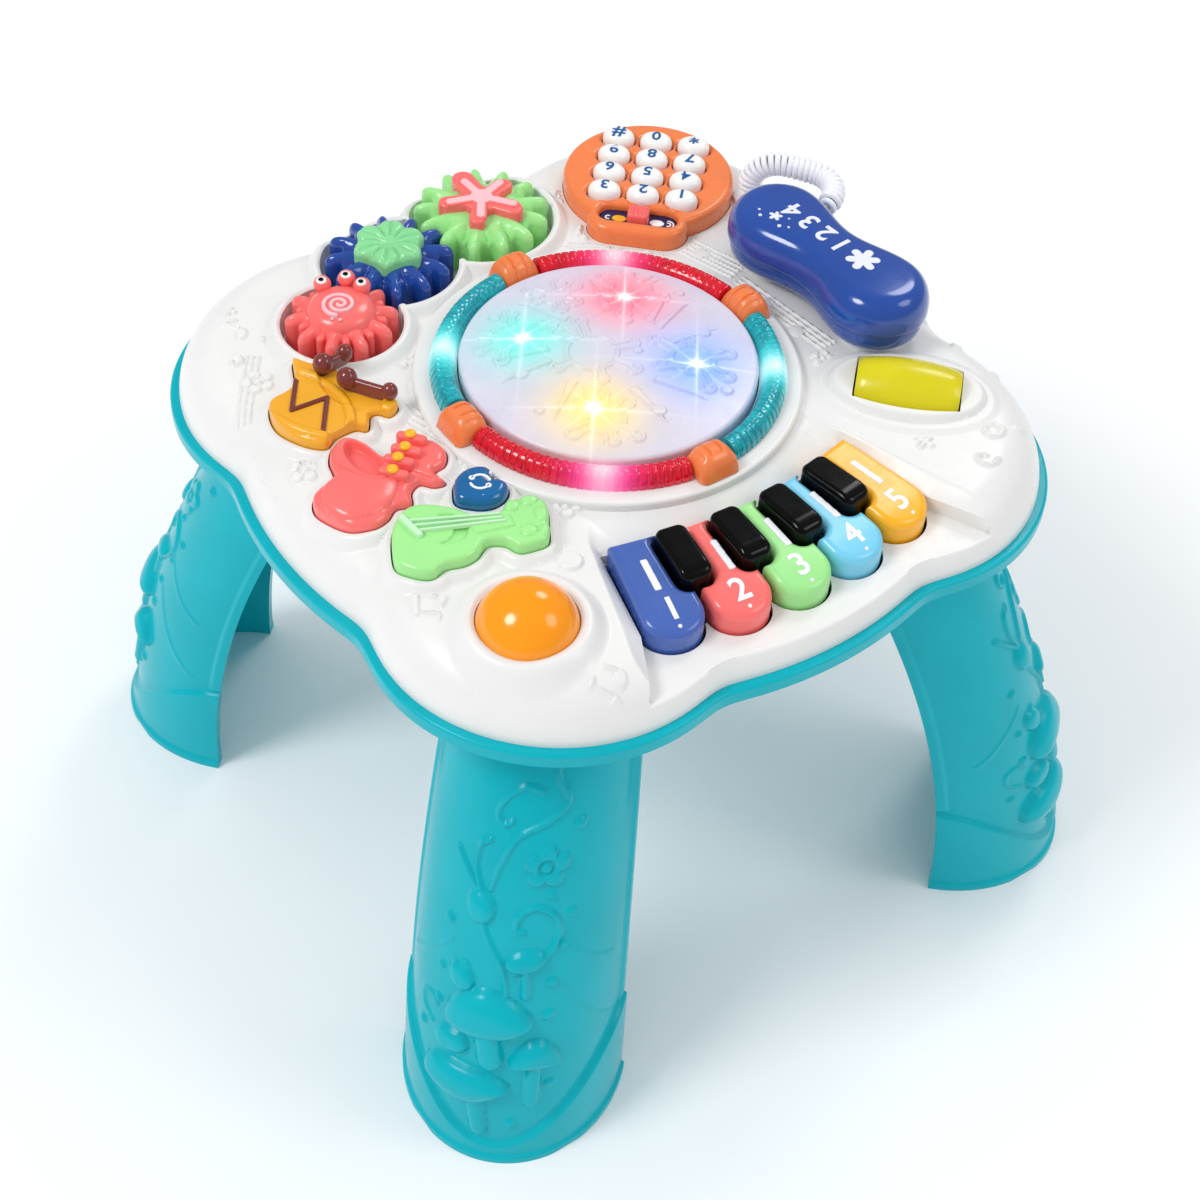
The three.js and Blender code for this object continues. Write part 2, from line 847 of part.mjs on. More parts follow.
function gearSpots() {
  const reachBlue = gearModule * (greenTeeth + blueTeeth) / 2;
  const reachPink = gearModule * (blueTeeth + pinkTeeth) / 2;
  const blueSpot = [
    greenCentre[0] + reachBlue * Math.cos(blueBearing),
    greenCentre[1] + reachBlue * Math.sin(blueBearing),
  ];
  const pinkSpot = [
    blueSpot[0] + reachPink * Math.cos(pinkBearing),
    blueSpot[1] + reachPink * Math.sin(pinkBearing),
  ];
  return [
    { spot: greenCentre, teeth: greenTeeth },
    { spot: blueSpot, teeth: blueTeeth },
    { spot: pinkSpot, teeth: pinkTeeth },
  ];
}

function gearWells() {
  return gearSpots().map(({ spot, teeth }) => {
    const bore = gearModule * teeth / 2 + toothHeight + gearWellGap;
    const foot = gearFloor - shellWall;
    const body = revolve([
      [0, foot], [bore + shellWall, foot], [bore + shellWall + gearCollarSlope, gearCollarFoot],
      [bore + shellWall, gearCollarTop], [0, gearCollarTop],
    ], wellSteps).translate([spot[0], spot[1], 0]);
    const space = rod(bore, gearFloor, gearTop + overrun, wellSteps)
      .add(rod(gearShaft + seatGap, gearShaftFoot, gearFloor + overrun, smallSteps))
      .translate([spot[0], spot[1], 0]);
    return { body, space };
  });
}

// What a neighbour of the gears leaves free for their collars and teeth
function gearKeepOut(margin, travel) {
  const solids = gearSpots().map(({ spot, teeth }) => {
    const tip = gearModule * teeth / 2 + toothHeight;
    const collar = tip + gearWellGap + shellWall + gearCollarSlope + margin;
    return rod(collar, gearFloor - shellWall - overrun, gearCollarTop + margin + travel, wellSteps)
      .add(rod(tip + gearClear + margin, gearFloor, gearTop + overrun, wellSteps))
      .translate([spot[0], spot[1], 0]);
  });
  return join(solids);
}

function ballWell() {
  const bore = ballRadius + runningGap;
  const mouth = Math.sqrt(ballRadius ** 2 - (ballCollarTop - ballHeight) ** 2) + runningGap;
  const foot = ballHeight - ballWellDepth;
  const pins = crossRod(axlePin + seatGap, (bore + axleReach + seatGap) * 2)
    .rotate([0, 0, ballAxleBearing / degree]).translate([0, 0, ballHeight]);
  const body = revolve([
    [0, foot], [bore + shellWall + axleReach, foot], [bore + shellWall + axleReach, ballHeight],
    [ballCollarWide, ballHeight + seatGap], [ballCollarCrown, ballCollarTop - seatGap],
    [mouth + seatGap, ballCollarTop], [0, ballCollarTop],
  ], ballWellSteps).translate([ballCentre[0], ballCentre[1], 0]);
  const space = revolve([
    [0, foot - overrun], [bore, foot - overrun], [bore, ballHeight + seatGap],
    [mouth, ballCollarTop], [mouth, ballCollarTop + overrun], [0, ballCollarTop + overrun],
  ], ballWellSteps).add(pins).translate([ballCentre[0], ballCentre[1], 0]);
  return { body, space };
}

function rollerWell() {
  const halfLength = rollerLength / 2 + rollerWellMargin;
  const halfWidth = rollerMidRadius + rollerWellMargin;
  const foot = rollerHeight - rollerWellDepth;
  const collar = ellipse(rollerCollarLength / 2, rollerCollarHalf);
  const pins = crossRod(axlePin + seatGap, (halfLength + axleReach) * 2).translate([0, 0, rollerHeight]);
  const lower = prism(
    roundedBox(halfLength + axleReach + shellWall, halfWidth + shellWall, shellWall), foot, rollerHeight);
  const body = softPrism(collar, rollerHeight - overrun, rollerCollarTop, shellWall).add(lower);
  const space = prism(roundedBox(halfLength, halfWidth, rollerWellMargin), foot - overrun,
    rollerCollarTop + overrun).add(pins);
  const place = (solid) => solid.rotate([0, 0, rollerBearing / degree])
    .translate([rollerCentre[0], rollerCentre[1], 0]);
  return { body: place(body), space: place(space) };
}

// Rear edge of the bay: an arc behind the keys, from the +X side to the -X side
function bayRear(margin, back) {
  const arc = keyArc - keyLength / 2 - bayKeyGap - margin - back;
  return Array.from({ length: bayRearSpans + 1 }, (_, i) => {
    const x = (bayRearHalf + margin) * (1 - 2 * i / bayRearSpans);
    return [x, keyboardCentreY - Math.sqrt(arc ** 2 - x ** 2)];
  });
}

function bayOutline(margin, back) {
  const wide = margin + (back > 0 ? baySideLean : 0);
  return [
    [-bayWaistHalf - wide, bayWaistY], [-bayFrontHalf - margin, bayFrontY],
    [bayFrontHalf + margin, bayFrontY], [bayWaistHalf + wide, bayWaistY], ...bayRear(margin, back),
  ];
}

// A block over the key bay: its floor slopes down to the front, its rear wall leans back
function bayBlock(margin, drop, high) {
  const depth = bayRearY - bayFrontY;
  const floorAt = (y) => bayFloorFront + (bayFloorRear - bayFloorFront) * (y - bayFrontY) / depth;
  const ring = (back, height) => bayOutline(margin, back).map(([x, y]) =>
    new THREE.Vector3(x, y, height(y)));
  return loft([
    ring(0, (y) => floorAt(y) - drop), ring(0, () => bayStepTop),
    ring(bayRimInset, () => edgeRise), ring(bayRimInset, () => high),
  ]);
}

function keySpots() {
  return Array.from({ length: keyCount }, (_, i) => {
    const step = i - (keyCount - 1) / 2;
    const x = step * keyPitch;
    return { x, y: keyboardCentreY - Math.sqrt(keyArc ** 2 - x ** 2), angle: step * keyFan };
  });
}

function blackSpots() {
  return Array.from({ length: keyCount - 1 }, (_, i) => {
    const step = i - (keyCount - 2) / 2;
    const x = step * blackPitch;
    return { x, y: keyboardCentreY - Math.sqrt(blackArc ** 2 - x ** 2), angle: step * keyFan };
  });
}

function blackOutline(margin) {
  return roundedBox(blackHalfWidth + margin, blackLength / 2 + margin, blackHalfWidth / 2);
}

function keyWindows() {
  const reach = keyPivotBehind + ribLength;
  const tongues = keySpots().map(({ x, y, angle }) =>
    box(keyTongueWidth + runningGap * 2, reach + bayKeyGap, keyPivotHeight - keyTongueHeight,
      keyPivotHeight + keyTongueHeight)
      .translate([0, keyLength / 2 + (reach - bayKeyGap) / 2, 0])
      .rotate([0, 0, angle / degree]).translate([x, y, 0]));
  const pockets = keySpots().map(({ x, y, angle }) =>
    box(keyPivotLength + runningGap * 2, ribLength + runningGap * 2, frameTop + seatGap,
      keyPivotHeight + keyPivotRadius + runningGap)
      .translate([0, keyLength / 2 + keyPivotBehind, 0])
      .rotate([0, 0, angle / degree]).translate([x, y, 0]));
  return join([...tongues, ...pockets, keyOpening()]);
}

// The keys pass through one opening in the bay's floor, scalloped round their noses
function keyOpening() {
  const corners = (alongX, alongY) => keySpots().map(({ x, y, angle }) =>
    placeOutline([[alongX, alongY]], [x, y], angle)[0]);
  const rear = keyLength / 2 + bayKeyGap;
  const middle = [
    ...corners(-keyRearHalf - bayKeyGap, rear), ...corners(keyRearHalf + bayKeyGap, rear).slice(-1),
    ...corners(keyRearHalf + bayKeyGap, keyNose - keyLength / 2).slice(-1),
    ...corners(0, keyNose - keyLength / 2).reverse(),
    ...corners(-keyRearHalf - bayKeyGap, keyNose - keyLength / 2).slice(0, 1),
  ];
  const low = frameTop + seatGap;
  const noses = keySpots().map(({ x, y, angle }) =>
    prism(placeOutline(offsetOutline(keyOutline(), bayKeyGap), [x, y], angle), low, keyTop));
  return join([prism(middle, low, keyTop), ...noses]);
}

function keyBay() {
  const body = bayBlock(shellWall, shellWall, edgeRise + overrun);
  const space = bayBlock(0, 0, pedestalRise + overrun);
  return { body: body.intersect(domeSolid(0, 0)), space: space.add(keyWindows()) };
}

function padWellSolid() {
  const body = rod(padRadius + shellWall, edgeRise / 2, padSeat, wellSteps);
  const panel = prism(panelOutline(0), padSeat - overrun, padSeat);
  const space = rod(padWell, 0, padTop)
    .add(rod(padRadius + seatGap, padSeat, padTop + overrun, wellSteps));
  const place = (solid) => solid.rotate([0, 0, padBearing / degree])
    .translate([padCentre[0], padCentre[1], 0]);
  return {
    body: place(body.add(panel)),
    space: place(space.add(prism(panelOutline(seatGap), padSeat, padTop + overrun))),
  };
}

function sharedOutline(shares, size, centre) {
  return shares.map(([x, y]) => [centre[0] + x * size, centre[1] + y * size]);
}

function drumOutline() {
  return sharedOutline(drumShares, drumSize, drumCentre);
}

function saxOutline() {
  return sharedOutline(saxShares, saxSize, saxCentre);
}

function guitarOutline() {
  return sharedOutline(guitarShares, guitarSize, guitarCentre);
}

function figureWell(outline) {
  const island = (foot) => softPrism(
    offsetOutline(hullOutline(outline), islandMargin), foot, islandTop, shellWall);
  const space = prism(offsetOutline(outline, runningGap), 0, figureTop + overrun);
  return {
    body: island(islandFoot), skin: island(edgeRise / 2), space: space.subtract(gearKeepOut(0, 0)),
  };
}

function heartOutline() {
  const bump = ({ depthShare, spreadShare }, away) =>
    depthShare * Math.exp(-((away / spreadShare) ** 2));
  const outline = Array.from({ length: heartSteps }, (_, i) => {
    const angle = turn * i / heartSteps;
    const reach = heartSize
      * (1 - bump(heartNotch, angle - Math.PI)) * (1 + bump(heartPoint, Math.min(angle, turn - angle)));
    return [reach * Math.cos(angle), reach * Math.sin(angle)];
  });
  return placeOutline(outline, heartCentre, heartBearing);
}

function lensWell() {
  const space = rod(lensRadius + runningGap, 0, pedestalRise + overrun, lensSteps);
  return { space };
}

function cradle() {
  const pads = [-1, 1].map((side) => rod(cradleRadius, edgeRise, handsetBottom + cupDepth)
    .translate([0, side * handsetReach, 0]));
  return join(pads).rotate([0, 0, handsetBearing / degree]).translate([...handsetCentre, 0]);
}

function makeTopShell() {
  const outer = domeSolid(0, seatGap);
  const inner = domeSolid(shellWall, -overrun);
  const wells = [
    ...gearWells(), ballWell(), rollerWell(), keyBay(), padWellSolid(),
    ...[drumOutline, saxOutline, guitarOutline, heartOutline].map((outline) => figureWell(outline())),
  ];
  const bodies = join(wells.map(({ body }) => body));
  const spaces = join([...wells.map(({ space }) => space), lensWell().space,
    rod(grommetNeck + seatGap, 0, grommetTop, smallSteps)
      .translate([cordRoot[0], cordRoot[1], 0])]);
  const skins = join(wells.filter(({ skin }) => skin).map(({ skin }) => skin));
  return outer.add(skins).add(bodies).add(cradle()).subtract(inner.subtract(bodies)).subtract(spaces);
}

// Keys

function keyOutline() {
  const front = -keyLength / 2;
  const rear = keyLength / 2;
  const outline = [[-keyRearHalf, rear]];
  const centre = front + keyNose;
  for (let i = 0; i <= keyNoseSteps; i += 1) {
    const angle = Math.PI + Math.PI * i / keyNoseSteps;
    outline.push([keyFrontHalf * Math.cos(angle), centre + keyNose * Math.sin(angle)]);
  }
  outline.push([keyRearHalf, rear]);
  return outline;
}

function makeKey(index) {
  const { x, y, angle } = keySpots()[index];
  const slab = softPrism(keyOutline(), keyBottom, keyTop, keyBevel, 1, keyFall / keyLength);
  const tongue = box(keyTongueWidth, keyLength / 2 + keyPivotBehind,
    keyPivotHeight - keyTongueHeight / 2, keyPivotHeight + keyTongueHeight / 2)
    .translate([0, (keyLength / 2 + keyPivotBehind) / 2, 0]);
  const pivot = crossRod(keyPivotRadius, keyPivotLength)
    .translate([0, keyLength / 2 + keyPivotBehind, keyPivotHeight]);
  const body = slab.add(tongue).add(pivot);
  const notches = blackSpots().map((spot) => {
    const away = prism(blackOutline(runningGap * 2), frameTop, blackTop + overrun)
      .rotate([0, 0, spot.angle / degree]).translate([spot.x, spot.y, 0]);
    return away.translate([-x, -y, 0]).rotate([0, 0, -angle / degree]);
  });
  return body.subtract(join(notches));
}

function makeKeyFrame() {
  const caps = blackSpots().map(({ x, y, angle }) =>
    softPrism(blackOutline(0), frameTop - frameThickness, blackTop, blackBevel)
      .rotate([0, 0, angle / degree]).translate([x, y, 0]));
  const ribs = keySpots().flatMap(({ x, y, angle }) => [-1, 1].map((side) => {
    const rib = box(ribThickness, ribLength, frameTop - frameThickness, keyPivotHeight + ribRise)
      .translate([side * (keyTongueWidth / 2 + runningGap + ribThickness / 2),
        keyLength / 2 + keyPivotBehind, 0]);
    const slot = box(keyPivotLength * 2, (keyPivotRadius + seatGap) * 2,
      keyPivotHeight - keyPivotRadius - seatGap, keyPivotHeight + keyPivotRadius + overrun)
      .translate([0, keyLength / 2 + keyPivotBehind, 0]);
    return rib.subtract(slot).rotate([0, 0, angle / degree]).translate([x, y, 0]);
  }));
  const plate = box(frameHalf * 2, frameRearY - frameFrontY, frameTop - frameThickness, frameTop)
    .translate([0, (frameRearY + frameFrontY) / 2, 0]);
  return join([plate, ...caps, ...ribs]);
}

// Light lens, ring and clamps

function makeLens() {
  const base = pedestalRise;
  const skirt = base - lensSkirt;
  const top = base + lensTopRise;
  const edge = base + lensEdgeRise;
  const outer = [
    [0, skirt], [lensRadius + lensFlange, skirt], [lensRadius + lensFlange, skirt + lensWall],
    [lensRadius, skirt + lensWall], [lensRadius, edge - lensLip], [lensRadius - lensLip, edge],
    [lensRadius * lensCrownShare, top - lensCrownDrop], [0, top],
  ];
  const inner = [
    [0, skirt - overrun], [lensRadius - lensWall, skirt - overrun],
    [lensRadius - lensWall, edge - lensLip - lensWall / 2],
    [lensRadius * lensCrownShare, top - lensCrownDrop - lensWall], [0, top - lensWall],
  ];
  return revolve(outer, lensSteps).subtract(revolve(inner, lensSteps));
}

// Half-round light guide along one quarter of the ring
function makeRingGuide(startAngle) {
  const base = pedestalRise + seatGap;
  const gap = seatGap / ringCentre;
  const from = startAngle + clampHalfAngle + gap;
  const span = quarter - (clampHalfAngle + gap) * 2;
  const section = (half, height) => Array.from({ length: ringSteps / 2 + 1 }, (_, i) => {
    const angle = Math.PI * i / (ringSteps / 2);
    return [half * Math.cos(angle), height * Math.sin(angle)];
  });
  const profile = [...section(ringHalfWidth, ringHeight),
    ...section(ringHalfWidth - ringBore, ringHeight - ringBore).reverse()];
  const points = [];
  const faces = [];
  const count = profile.length;
  for (let i = 0; i <= ringSteps; i += 1) {
    const angle = from + span * i / ringSteps;
    for (const [across, up] of profile) {
      const radius = ringCentre + across;
      points.push(new THREE.Vector3(radius * Math.cos(angle), radius * Math.sin(angle), base + up));
    }
  }
  for (let i = 0; i < ringSteps; i += 1) {
    for (let j = 0; j < count; j += 1) {
      const a = i * count + j;
      const b = i * count + (j + 1) % count;
      faces.push(a, b, b + count, a, b + count, a + count);
    }
  }
  const half = count / 2;
  for (const start of [0, ringSteps * count]) {
    for (let j = 0; j + 1 < half; j += 1) {
      const quad = [start + j, start + j + 1, start + count - 2 - j, start + count - 1 - j];
      const [a, b, c, d] = start === 0 ? quad.reverse() : quad;
      faces.push(a, b, c, a, c, d);
    }
  }
  const geometry = new THREE.BufferGeometry().setFromPoints(points);
  geometry.setIndex(faces);
  return toSolid(geometry);
}

// Arched clamp over the joint of two guides, built along +X
function makeClamp() {
  const base = pedestalRise + seatGap;
  const middle = (clampInner + clampOuter) / 2;
  const reach = (clampOuter - clampInner) / 2;
  const arch = (y, share) => Array.from({ length: archSteps + 1 }, (_, i) => {
    const angle = Math.PI * i / archSteps;
    return new THREE.Vector3(
      middle + reach * share * Math.cos(angle), y,
      base + clampHeight * share * Math.sin(angle) ** clampFullness);
  });
  const rows = [
    [-clampHalfWidth, clampTaperShare], [-clampHalfWidth * clampTaperShare, 1],
    [clampHalfWidth * clampTaperShare, 1], [clampHalfWidth, clampTaperShare],
  ];
  const rings = rows.map(([y, share]) => arch(y, share));
  return loftAlongY(rings);
}

// The same as loft, for rings that stand one behind the other along Y
function loftAlongY(rings) {
  const swap = ({ x, y, z }) => new THREE.Vector3(x, z, y);
  return loft(rings.map((ring) => ring.map(swap))).transform([
    1, 0, 0, 0,
    0, 0, 1, 0,
    0, 1, 0, 0,
    0, 0, 0, 1,
  ]);
}

// Instrument buttons

// later: the figures whose flanges this one's flange gives way to; others: those it lies beside
function makeFigure(outline, later = [], others = []) {
  const foot = figureTop - figureSkirt;
  const flange = (band, reach, margin) => prism(offsetOutline(hullOutline(band), reach),
    foot - flangeThickness - margin, foot + margin);
  const body = softPrism(outline, foot, figureTop, figureBevel);
  const reach = flangeReach + runningGap;
  const spare = [
    ...later.map((other) => flange(other, reach + runningGap, 0)),
    ...others.map((other) => prism(offsetOutline(other, runningGap * 2), foot - overrun, foot + overrun)),
  ];
  const trimmed = flange(outline, reach, 0).intersect(domeSolid(shellWall + runningGap, 0));
  const whole = spare.length > 0 ? trimmed.subtract(join(spare)) : trimmed;
  return body.add(whole).subtract(gearKeepOut(runningGap, buttonTravel));
}

// Ball and roller, built on their own centres

function makeBall() {
  const sphere = toSolid(new THREE.SphereGeometry(ballRadius, ballSteps, ballSteps / 2));
  const pins = crossRod(axlePin, (ballRadius + runningGap + axleReach) * 2);
  return sphere.add(pins);
}

function makeRoller() {
  const half = rollerLength / 2;
  const bulge = rollerMidRadius - rollerEndRadius;
  const profile = [[0, -half]];
  for (let i = 0; i <= rollerRings; i += 1) {
    const along = i / rollerRings * 2 - 1;
    profile.push([rollerEndRadius + bulge * (1 - along * along), along * half]);
  }
  profile.push([0, half]);
  const pins = crossRod(axlePin, rollerLength + (rollerWellMargin + axleReach - seatGap) * 2);
  return revolve(profile, roundSteps).rotate([0, quarter / degree, 0]).add(pins);
}

// Handset

function handsetOutline(inset) {
  const outline = [];
  const lobe = handsetLobe - inset;
  const waist = handsetWaist - inset;
  for (const end of [1, -1]) {
    for (let i = 0; i <= lobeSteps; i += 1) {
      const angle = (end > 0 ? 0 : Math.PI) + Math.PI * i / lobeSteps;
      outline.push([lobe * Math.cos(angle), end * handsetReach + lobe * Math.sin(angle)]);
    }
    for (let i = 1; i < waistSteps; i += 1) {
      const along = end * (1 - 2 * i / waistSteps);
      const half = waist + (lobe - waist) * (1 - Math.cos(Math.PI * along)) / 2;
      outline.push([-end * half, along * handsetReach]);
    }
  }
  return outline;
}

function handsetRing(inset, z) {
  return handsetOutline(inset).map(([x, y]) => new THREE.Vector3(x, y, z));
}

function makeHandsetLower() {
  const outer = loft([
    handsetRing(handsetFlare + handsetRound, handsetBottom),
    handsetRing(handsetFlare, handsetBottom + handsetFlare),
    handsetRing(0, handsetSeam - seatGap),
  ]);
  const inner = loft([
    handsetRing(handsetFlare + handsetRound + handsetWall, handsetBottom + cupDepth + handsetWall),
    handsetRing(handsetWall, handsetSeam - overrun),
    handsetRing(handsetWall, handsetSeam + overrun),
  ]);
  const cups = join([-1, 1].map((side) =>
    rod(cradleRadius + runningGap, handsetBottom - overrun, handsetBottom + cupDepth + seatGap)
      .translate([0, side * handsetReach, 0])));
  return outer.subtract(cups).subtract(inner);
}

function makeHandsetUpper() {
  const dome = (inset, drop) => {
    const rings = [handsetRing(inset, handsetSeam - (inset > 0 ? overrun : 0))];
    rings.push(handsetRing(inset, handsetTop - handsetRound - drop));
    for (let i = 1; i <= domeSteps; i += 1) {
      const angle = quarter * i / domeSteps;
      rings.push(handsetRing(inset + handsetRound * (1 - Math.cos(angle)),
        handsetTop - drop - handsetRound * (1 - Math.sin(angle))));
    }
    return loft(rings);
  };
  return dome(0, 0).subtract(dome(handsetWall, handsetWall));
}

// Keypad, in its own turned frame: numbers run along X, the switch panel lies towards -X

function panelOutline(margin) {
  return placeOutline(
    roundedBox(panelHalfWidth + margin, panelHalfLength + margin, panelCorner + margin, panelSteps),
    [-panelShift, 0]);
}

function numberSpots() {
  const spots = [];
  for (let column = 0; column < numberColumns; column += 1) {
    for (let row = 0; row < numberRows; row += 1) {
      spots.push([
        (column - (numberColumns - 1) / 2) * numberColumn + numberShift,
        (row - (numberRows - 1) / 2) * numberRow,
      ]);
    }
  }
  return spots;
}

function makePadPlate() {
  const low = padSeat + seatGap;
  const disc = revolve([
    [0, low], [padRadius, low], [padRadius, padTop - padBevel],
    [padRadius - padBevel * (1 - Math.SQRT1_2), padTop - padBevel * (1 - Math.SQRT1_2)],
    [padRadius - padBevel, padTop], [0, padTop],
  ], wellSteps);
  const panel = softPrism(panelOutline(0), low, panelTop, padBevel);
  const window = placeOutline(
    roundedBox(windowHalfWidth, windowHalfLength, windowCorner, panelSteps), [-panelShift, 0]);
  const slot = placeOutline(
    roundedBox(knobStem + seatGap, knobTravel + knobStem + seatGap, knobStem / 2), [-panelShift, 0]);
  const hole = prism(
    ellipse(numberHalfX + seatGap, numberHalfY + seatGap, numberSides), low - overrun, padTop + overrun);
  const holes = numberSpots().map(([x, y]) => hole.translate([x, y, 0]));
  const under = rod(padRadius - padRim, low - overrun, padTop - padBevel - shellWall, roundSteps);
  return disc.add(panel).subtract(under)
    .subtract(prism(window, windowFloor, padTop + overrun))
    .subtract(prism(slot, low - overrun, padTop + overrun))
    .subtract(join(holes));
}

function makeNumberButton() {
  const flangeTop = padTop - padBevel - shellWall - seatGap;
  const flange = prism(ellipse(numberHalfX + flangeReach, numberHalfY + flangeReach, numberSides),
    flangeTop - flangeThickness, flangeTop);
  const dome = softPrism(ellipse(numberHalfX, numberHalfY, numberSides),
    flangeTop - flangeThickness / 2, numberTop, numberBevel);
  return flange.add(dome);
}

function makeKnob() {
  const cap = softPrism(
    roundedBox(knobHalfWidth, knobHalfLength, knobHalfWidth / 2),
    windowFloor + seatGap, knobTop, numberBevel / 2);
  return cap.add(rod(knobStem, knobStemFoot, windowFloor + overrun / 2, smallSteps));
}

// Gears and their caps

// Outline of a gear whose flanks are involutes, with one tooth centred on +X
function gearOutline(teeth) {
  const pitch = gearModule * teeth / 2;
  const base = pitch * Math.cos(pressureAngle);
  const involute = (angle) => Math.tan(angle) - angle;
  const halfTooth = Math.PI * toothFillShare / teeth;
  const tip = pitch + toothHeight;
  const root = pitch - toothDepth;
  const halfAt = (radius) => {
    const angle = Math.acos(Math.min(1, base / radius));
    return halfTooth + involute(pressureAngle) - involute(angle);
  };
  const radii = [root, pitch, tip];
  const outline = [];
  for (let tooth = 0; tooth < teeth; tooth += 1) {
    const centre = turn * tooth / teeth;
    const flank = radii.map((radius) => [radius, halfAt(radius)]);
    flank[0][1] = Math.PI / teeth * rootShare;
    flank[2][1] *= tipShare;
    for (const [radius, half] of flank) {
      outline.push([radius * Math.cos(centre - half), radius * Math.sin(centre - half)]);
    }
    for (const [radius, half] of flank.reverse()) {
      outline.push([radius * Math.cos(centre + half), radius * Math.sin(centre + half)]);
    }
  }
  return outline;
}

// Turn of each gear at rest, so that a tooth of one meets a space of the next
function gearPhases() {
  const green = greenPhaseShare * turn / greenTeeth;
  const meet = (phase, teeth, next, bearing) => {
    const share = ((bearing - phase) / (turn / teeth)) % 1;
    return bearing + turn / 2 + (share + halfPitch) * (turn / next);
  };
  const blue = meet(green, greenTeeth, blueTeeth, blueBearing);
  return [green, blue, meet(blue, blueTeeth, pinkTeeth, pinkBearing)];
}

function makeGear(teeth) {
  const rim = softPrism(gearOutline(teeth), gearFloor + runningGap, gearTop, toothBevel);
  const shaft = rod(gearShaft, gearShaftFoot, gearTop - capPinDepth - seatGap - capBevel, smallSteps);
  const socket = rod(capPin + seatGap, gearTop - capPinDepth - seatGap, gearTop + overrun, smallSteps);
  return rim.add(shaft).subtract(socket);
}

function waveOutline(radius, wave, count) {
  const steps = count * waveSteps;
  return Array.from({ length: steps }, (_, i) => {
    const angle = turn * i / steps;
    const reach = radius + wave * Math.cos(angle * count);
    return [reach * Math.cos(angle), reach * Math.sin(angle)];
  });
}

function makeCap(outline, top) {
  const low = gearTop + seatGap;
  return softPrism(outline, low, top, capBevel)
    .add(rod(capPin, gearTop - capPinDepth, low + seatGap, smallSteps));
}

function makeCrab() {
  const eyes = crabEyes.map(([x, y]) => {
    const eye = new THREE.SphereGeometry(crabEye, capSteps, capSteps / 2);
    return toSolid(eye).translate([x, y, crabTop]);
  });
  const low = gearTop - capBevel;
  const back = revolve([
    [0, low], [crabRadius, low], [crabRadius, gearTop], [crabRadius - capBevel, crabTop - capBevel],
    [0, crabTop],
  ], wellSteps);
  const shaft = rod(gearShaft, gearShaftFoot, gearTop - capBevel, smallSteps);
  const rim = softPrism(gearOutline(pinkTeeth), gearFloor + runningGap, gearTop, toothBevel);
  return join([rim, shaft, back, ...eyes]);
}

// Curly cord: one wire wound round a path from its grommet to the handset

function cordPath() {
  return new THREE.CatmullRomCurve3(
    cordRoute.map((point) => new THREE.Vector3(...point)), false, 'centripetal');
}

class CurlyPath extends THREE.Curve {
  constructor(path, curls, radius) {
    super();
    this.path = path;
    this.curls = curls;
    this.radius = radius;
    this.frameCount = curls * curlSteps * 2;
    this.frames = path.computeFrenetFrames(this.frameCount, false);
  }

  getPoint(t) {
    const centre = this.path.getPointAt(t);
    const place = t * this.frameCount;
    const low = Math.min(Math.floor(place), this.frameCount - 1);
    const mix = place - low;
    const normal = this.frames.normals[low].clone().lerp(this.frames.normals[low + 1], mix).normalize();
    const other = this.frames.binormals[low].clone().lerp(this.frames.binormals[low + 1], mix).normalize();
    const lead = cordWire * straightShare / this.path.getLength();
    const rise = THREE.MathUtils.smoothstep(Math.min(t, 1 - t), lead, lead + rampCurls / this.curls);
    const angle = turn * this.curls * t;
    const radius = this.radius * rise;
    return centre.addScaledVector(normal, radius * Math.cos(angle))
      .addScaledVector(other, radius * Math.sin(angle));
  }
}

function curlyPath() {
  const path = cordPath();
  const curls = Math.round(path.getLength() / coilPitch);
  return new CurlyPath(path, curls, coilRadius);
}

function makeCord() {
  const curve = curlyPath();
  const steps = curve.curls * curlSteps;
  curve.arcLengthDivisions = steps * 4;
  const section = new THREE.Shape(ellipse(cordWire / 2, cordWire / 2, cordSides)
    .map(([x, y]) => new THREE.Vector2(x, y)));
  return toSolid(new THREE.ExtrudeGeometry(section, { steps, extrudePath: curve, bevelEnabled: false }));
}

// Least gap between parts of the wire that aren't next to each other along it, on points
function cordSelfGap() {
  const curve = curlyPath();
  const points = curve.getPoints(curve.curls * curlSteps * cordSamples);
  const along = [0];
  for (let i = 1; i < points.length; i += 1) {
    along.push(along[i - 1] + points[i].distanceTo(points[i - 1]));
  }
  let least = Infinity;
  for (let i = 0; i < points.length; i += 1) {
    for (let j = i + 1; j < points.length; j += 1) {
      if (along[j] - along[i] > cordWire * nearShare) {
        least = Math.min(least, points[i].distanceTo(points[j]));
      }
    }
  }
  return least - cordWire;
}

function makeGrommet() {
  return revolve([
    [0, grommetFoot], [grommetNeck, grommetFoot], [grommetNeck, grommetTop - grommetNeck],
    [grommetRadius, grommetTop - grommetNeck], [grommetRadius - seatGap, grommetTop - seatGap * 2],
    [grommetNeck, grommetTop], [0, grommetTop],
  ], smallSteps);
}

// Pieces inside the base

function makeSpeaker() {
  const low = -bowlFloorDrop + baseWall + seatGap;
  return revolve([
    [0, low + slotInset], [speakerMagnet, low + slotInset], [speakerRadius - slotInset, low],
    [speakerRadius, low], [speakerRadius, low + slotInset], [speakerMagnet, low + speakerHeight / 2],
    [speakerMagnet, low + speakerHeight], [0, low + speakerHeight],
  ]).translate([speakerCentre[0], speakerCentre[1], 0]);
}

function makeDoor() {
  const low = -bowlFloorDrop;
  return prism(roundedBox(doorHalfX, doorHalfY, doorCorner), low, low + doorThickness)
    .translate([doorCentre[0], doorCentre[1], 0]);
}

